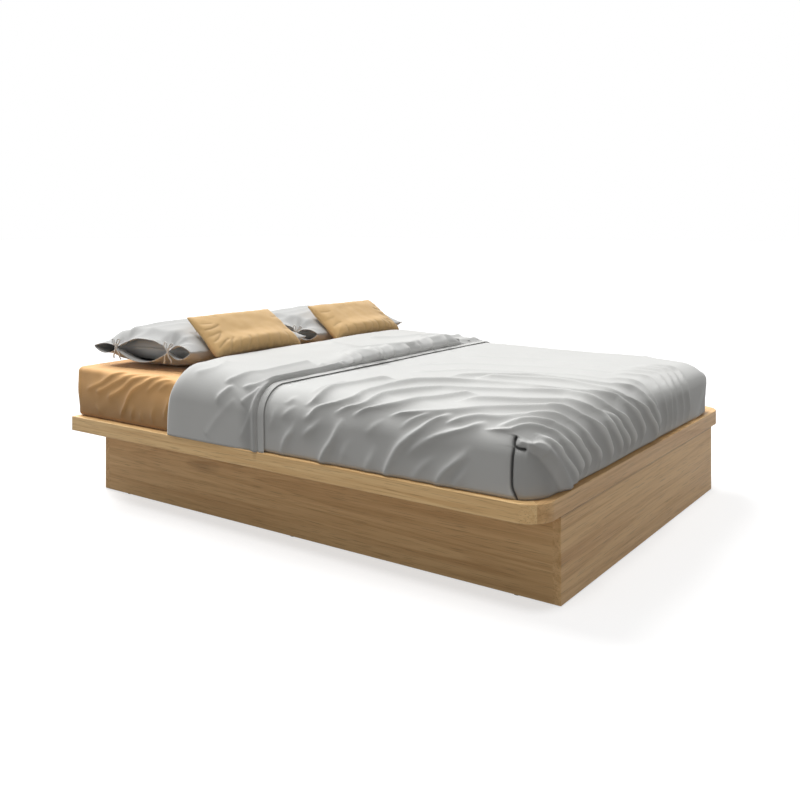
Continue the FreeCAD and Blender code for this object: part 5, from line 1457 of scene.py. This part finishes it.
# Each crumple has its strength and its course on the cover, from its seam inwards.
CRUMPLES = (
    (0.7, ((-0.235, 0.060), (-0.200, 0.045), (-0.165, 0.040))),
    (1.0, ((-0.240, 0.020), (-0.205, 0.012), (-0.170, 0.018), (-0.140, 0.030))),
    (0.8, ((-0.240, -0.020), (-0.200, -0.022), (-0.160, -0.012))),
    (1.0, ((-0.240, -0.060), (-0.205, -0.050), (-0.180, -0.030), (-0.160, -0.005))),
    (1.0, ((-0.235, -0.100), (-0.190, -0.075), (-0.150, -0.060))),
    (1.0, ((-0.175, -0.120), (-0.155, -0.080), (-0.125, -0.055))),
    (0.6, ((-0.120, -0.120), (-0.115, -0.085), (-0.095, -0.060))),
    (0.9, ((-0.075, -0.120), (-0.060, -0.090), (-0.050, -0.055))),
    (0.5, ((-0.020, -0.120), (-0.018, -0.085), (0.000, -0.060))),
    (0.7, ((0.040, -0.120), (0.045, -0.090), (0.060, -0.070))),
    (0.5, ((0.105, -0.120), (0.115, -0.085), (0.125, -0.065))),
    (0.7, ((0.165, -0.120), (0.170, -0.085), (0.160, -0.060))),
    (0.7, ((0.240, -0.060), (0.200, -0.045), (0.165, -0.045))),
    (0.5, ((0.240, 0.000), (0.205, -0.005), (0.175, 0.005))),
    (0.7, ((0.240, 0.055), (0.200, 0.040), (0.165, 0.042))),
    (0.6, ((-0.155, 0.120), (-0.140, 0.085), (-0.115, 0.070))),
    (0.4, ((0.000, 0.120), (0.010, 0.090), (0.030, 0.075))),
    (0.5, ((0.125, 0.120), (0.115, 0.085), (0.095, 0.070))),
)


def sewn_rectangles(name, width, height, step, material):
    """Two flat grids that share their border, a little apart in the middle."""
    xs = lines(-width / 2, width / 2, step)
    ys = lines(-height / 2, height / 2, step)
    grid_x, grid_y = np.meshgrid(xs, ys, indexing="ij")
    dome = (1 - (2 * grid_x / width) ** 2) * (1 - (2 * grid_y / height) ** 2) * CUSHION_DOME
    front = np.stack((grid_x, grid_y, dome), axis=2).reshape(-1, 3)
    index = np.arange(len(front)).reshape(grid_x.shape)
    quads = np.stack((index[:-1, :-1], index[1:, :-1], index[1:, 1:], index[:-1, 1:]), axis=2).reshape(-1, 4)
    inside = np.zeros(grid_x.shape, bool)
    inside[1:-1, 1:-1] = True
    back_index = index.copy()
    back_index[inside] = len(front) + np.arange(inside.sum())
    back = front[index[inside]] * (1, 1, -1)
    back_quads = back_index.ravel()[quads][:, ::-1]
    return piece(name, np.concatenate((front, back)), np.concatenate((quads, back_quads)), material)


def stuffed(flat, frames, pressure):
    """Blows a sewn cover up with its filling and gives the points that it settles at."""
    settle = flat.modifiers.new("filling", "CLOTH")
    settle.settings.quality = 6
    settle.settings.mass = 0.25
    settle.settings.tension_stiffness = 25
    settle.settings.compression_stiffness = 25
    settle.settings.bending_stiffness = 0.4
    settle.settings.use_pressure = True
    settle.settings.uniform_pressure_force = pressure
    settle.settings.effector_weights.gravity = 0
    settle.collision_settings.use_collision = False
    settle.point_cache.frame_end = frames
    for number in range(1, frames + 1):
        bpy.context.scene.frame_set(number)
    settled = flat.evaluated_get(bpy.context.evaluated_depsgraph_get())
    points = np.array([vertex.co for vertex in settled.data.vertices])
    flat.modifiers.remove(settle)
    bpy.context.scene.frame_set(1)
    return points


def finer_points(cover, points):
    """The points of a cover, laid at the given places, after one round of smooth subdivision."""
    cover.data.vertices.foreach_set("co", np.asarray(points, float).ravel())
    cover.data.update()
    if not cover.modifiers:
        cover.modifiers.new("rounding", "SUBSURF").levels = 1
    bpy.context.view_layer.update()
    even = cover.evaluated_get(bpy.context.evaluated_depsgraph_get())
    return np.array([vertex.co for vertex in even.data.vertices])


cushion_cloth = cloth("cushion_cotton", CUSHION_PALE, CUSHION_SHADE, thread=0.0011, roughness=0.78, nap=0.25)
for step, hand in enumerate(("left", "right")):
    cushion = sewn_rectangles("cushion_" + hand + "_cover", *CUSHION_CUT, CUSHION_STEP, cushion_cloth)
    cut = np.array([vertex.co for vertex in cushion.data.vertices])
    form = stuffed(cushion, CUSHION_FRAMES, CUSHION_PRESSURES[step])
    form *= np.array(CUSHION_SIZE) / (form.max(axis=0) - form.min(axis=0))
    cut = finer_points(cushion, cut)
    form = finer_points(cushion, form)
    smooth = bpy.data.meshes.new_from_object(cushion.evaluated_get(bpy.context.evaluated_depsgraph_get()))
    cushion.modifiers.clear()
    cushion.data = smooth
    rises = []
    for strength, course in CRUMPLES:
        shifted = [(sideways * (1 - 2 * step) + CRUMPLE_SHIFT * step, upwards)
                   for sideways, upwards in course]
        rise = fold_rise(cut[:, :2], shifted, CRUMPLE_WIDTH, CRUMPLE_WIDTH, 1, CRUMPLE_FADE)
        rises.append(strength * rise)
    crumpled = crowded(rises)
    inset = (np.array(CUSHION_CUT) / 2 - np.abs(cut[:, :2])).min(axis=1)
    form[:, 0] *= 1 - CUSHION_TAPER * (0.5 + form[:, 1] / CUSHION_SIZE[1]) * 2
    side = np.sign(form[:, 2])
    form[:, 2] *= 1 + CUSHION_SETTLED * ease(-form[:, 1] / CUSHION_SIZE[1], *CUSHION_LOWER_PART)
    dents = swells(form, CUSHION_SWELLS[step]) - CRUMPLE_DEPTH * crumpled
    form[:, 2] += side * dents * ease(inset, 0.0, CUSHION_SEAM)
    # Painted shade: along the lower seam where the cover turns under, and in the crumples.
    low_edge_shade = (1 - ease(inset, 0.0, LOW_EDGE_WIDTH)) * ease(-cut[:, 1] / CUSHION_CUT[1], *LOW_EDGE_PART)
    patches = LOW_EDGE_LEVEL + LOW_EDGE_WAVER * waver(form, LOW_EDGE_SIZE, LOW_EDGE_SEEDS[step])
    low_edge_shade *= np.clip(patches, 0, 1)
    shaded = np.maximum(np.clip(crumpled, 0, 1) * CRUMPLE_SHADE, low_edge_shade)
    tinted(cushion, "crease", CUSHION_PAINTED_SHADE * shaded)
    cos, sin = math.cos(CUSHION_LEAN), math.sin(CUSHION_LEAN)
    leaning = form @ np.array(((1, 0, 0), (0, cos, sin), (0, -sin, cos)))
    leaning += CUSHION_CENTER + (step * PILLOW_PITCH, 0, 0) + CUSHION_SHIFT[step]
    cushion.data.vertices.foreach_set("co", leaning.ravel())
    rounding = cushion.modifiers.new("rounding", "SUBSURF")
    rounding.levels = 1
    rounding.render_levels = 1
    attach(cushion, "cushion_" + hand)
    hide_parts("cushion_" + hand)

# Light, floor and camera: a pale studio with two broad soft lamps and the camera of the picture.
# The floor and the sky look white to the eye and throw less light back on the bed.
CAMERA_PLACE = (-2.9888, -2.1026, 1.0471)
CAMERA_YAW = math.radians(-54.867)
FOCAL_PIXELS = 912.33
IMAGE_PIXELS = 800
PRINCIPAL = (403.78, 226.48)
FLOOR_WHITE = (0.40, 0.40, 0.40, 1)
FLOOR_GLOW = (0.62, 0.62, 0.62, 1)
FLOOR_DARK = (0, 0, 0, 1)
FLOOR_BOUNCE = (0.19, 0.187, 0.183, 1)
FLOOR_REACH = 60.0
FLOOR_ROUGHNESS = 0.9
SENSOR_WIDTH = 36.0
SKY_WHITE = (1, 1, 1, 1)
WORLD_LIGHT = 0.33
# Each lamp has its turn in degrees, its strength and its breadth in degrees.
LAMPS = {"near_lamp": ((1, -11, 0), 1.3, 14), "far_lamp": ((-38, 15, 0), 3.25, 34)}


def straight_seen(finish):
    """1 for what the camera sees straight, in a mirror or through glass, and 0 for light thrown back."""
    seen = finish.node("ShaderNodeLightPath", out="Is Camera Ray")
    paths = seen.output.node.outputs
    for kind in ("Is Glossy Ray", "Is Transmission Ray"):
        seen = seen.math("MAXIMUM", seen, Wire(finish, paths[kind]))
    return seen


camera_data = bpy.data.cameras.new("camera")
camera_data.sensor_width = SENSOR_WIDTH
camera_data.lens = FOCAL_PIXELS / IMAGE_PIXELS * camera_data.sensor_width
camera_data.shift_x = (IMAGE_PIXELS / 2 - PRINCIPAL[0]) / IMAGE_PIXELS
camera_data.shift_y = (PRINCIPAL[1] - IMAGE_PIXELS / 2) / IMAGE_PIXELS
camera = standing("camera", camera_data)
camera.location = CAMERA_PLACE
camera.rotation_euler = (math.radians(90), 0, CAMERA_YAW)
bpy.context.scene.camera = camera
studio_floor = Finish(bpy.data.materials.new("floor_white"))
floor_seen = straight_seen(studio_floor)
studio_floor.surface(Base_Color=studio_floor.mixed(floor_seen, FLOOR_BOUNCE, FLOOR_WHITE),
                     Roughness=FLOOR_ROUGHNESS,
                     Emission_Color=studio_floor.mixed(floor_seen, FLOOR_DARK, FLOOR_GLOW),
                     Emission_Strength=1.0)
floor_corners = np.array(((-1, -1, 0), (1, -1, 0), (1, 1, 0), (-1, 1, 0))) * FLOOR_REACH
floor = piece("floor", floor_corners, [(0, 1, 2, 3)], studio_floor.owner)
for name, (turn, strength, spread) in LAMPS.items():
    lamp_data = bpy.data.lights.new(name, "SUN")
    lamp_data.energy = strength
    lamp_data.angle = math.radians(spread)
    lamp = standing(name, lamp_data)
    lamp.rotation_euler = [math.radians(angle) for angle in turn]
world = bpy.data.worlds.new("studio")
bpy.context.scene.world = world
sky = Finish(world)
sky_strength = straight_seen(sky) * (1 - WORLD_LIGHT) + WORLD_LIGHT
sky.feed(world.node_tree.nodes["Background"], {"Color": SKY_WHITE, "Strength": sky_strength})
bpy.context.scene.view_settings.view_transform = "Standard"
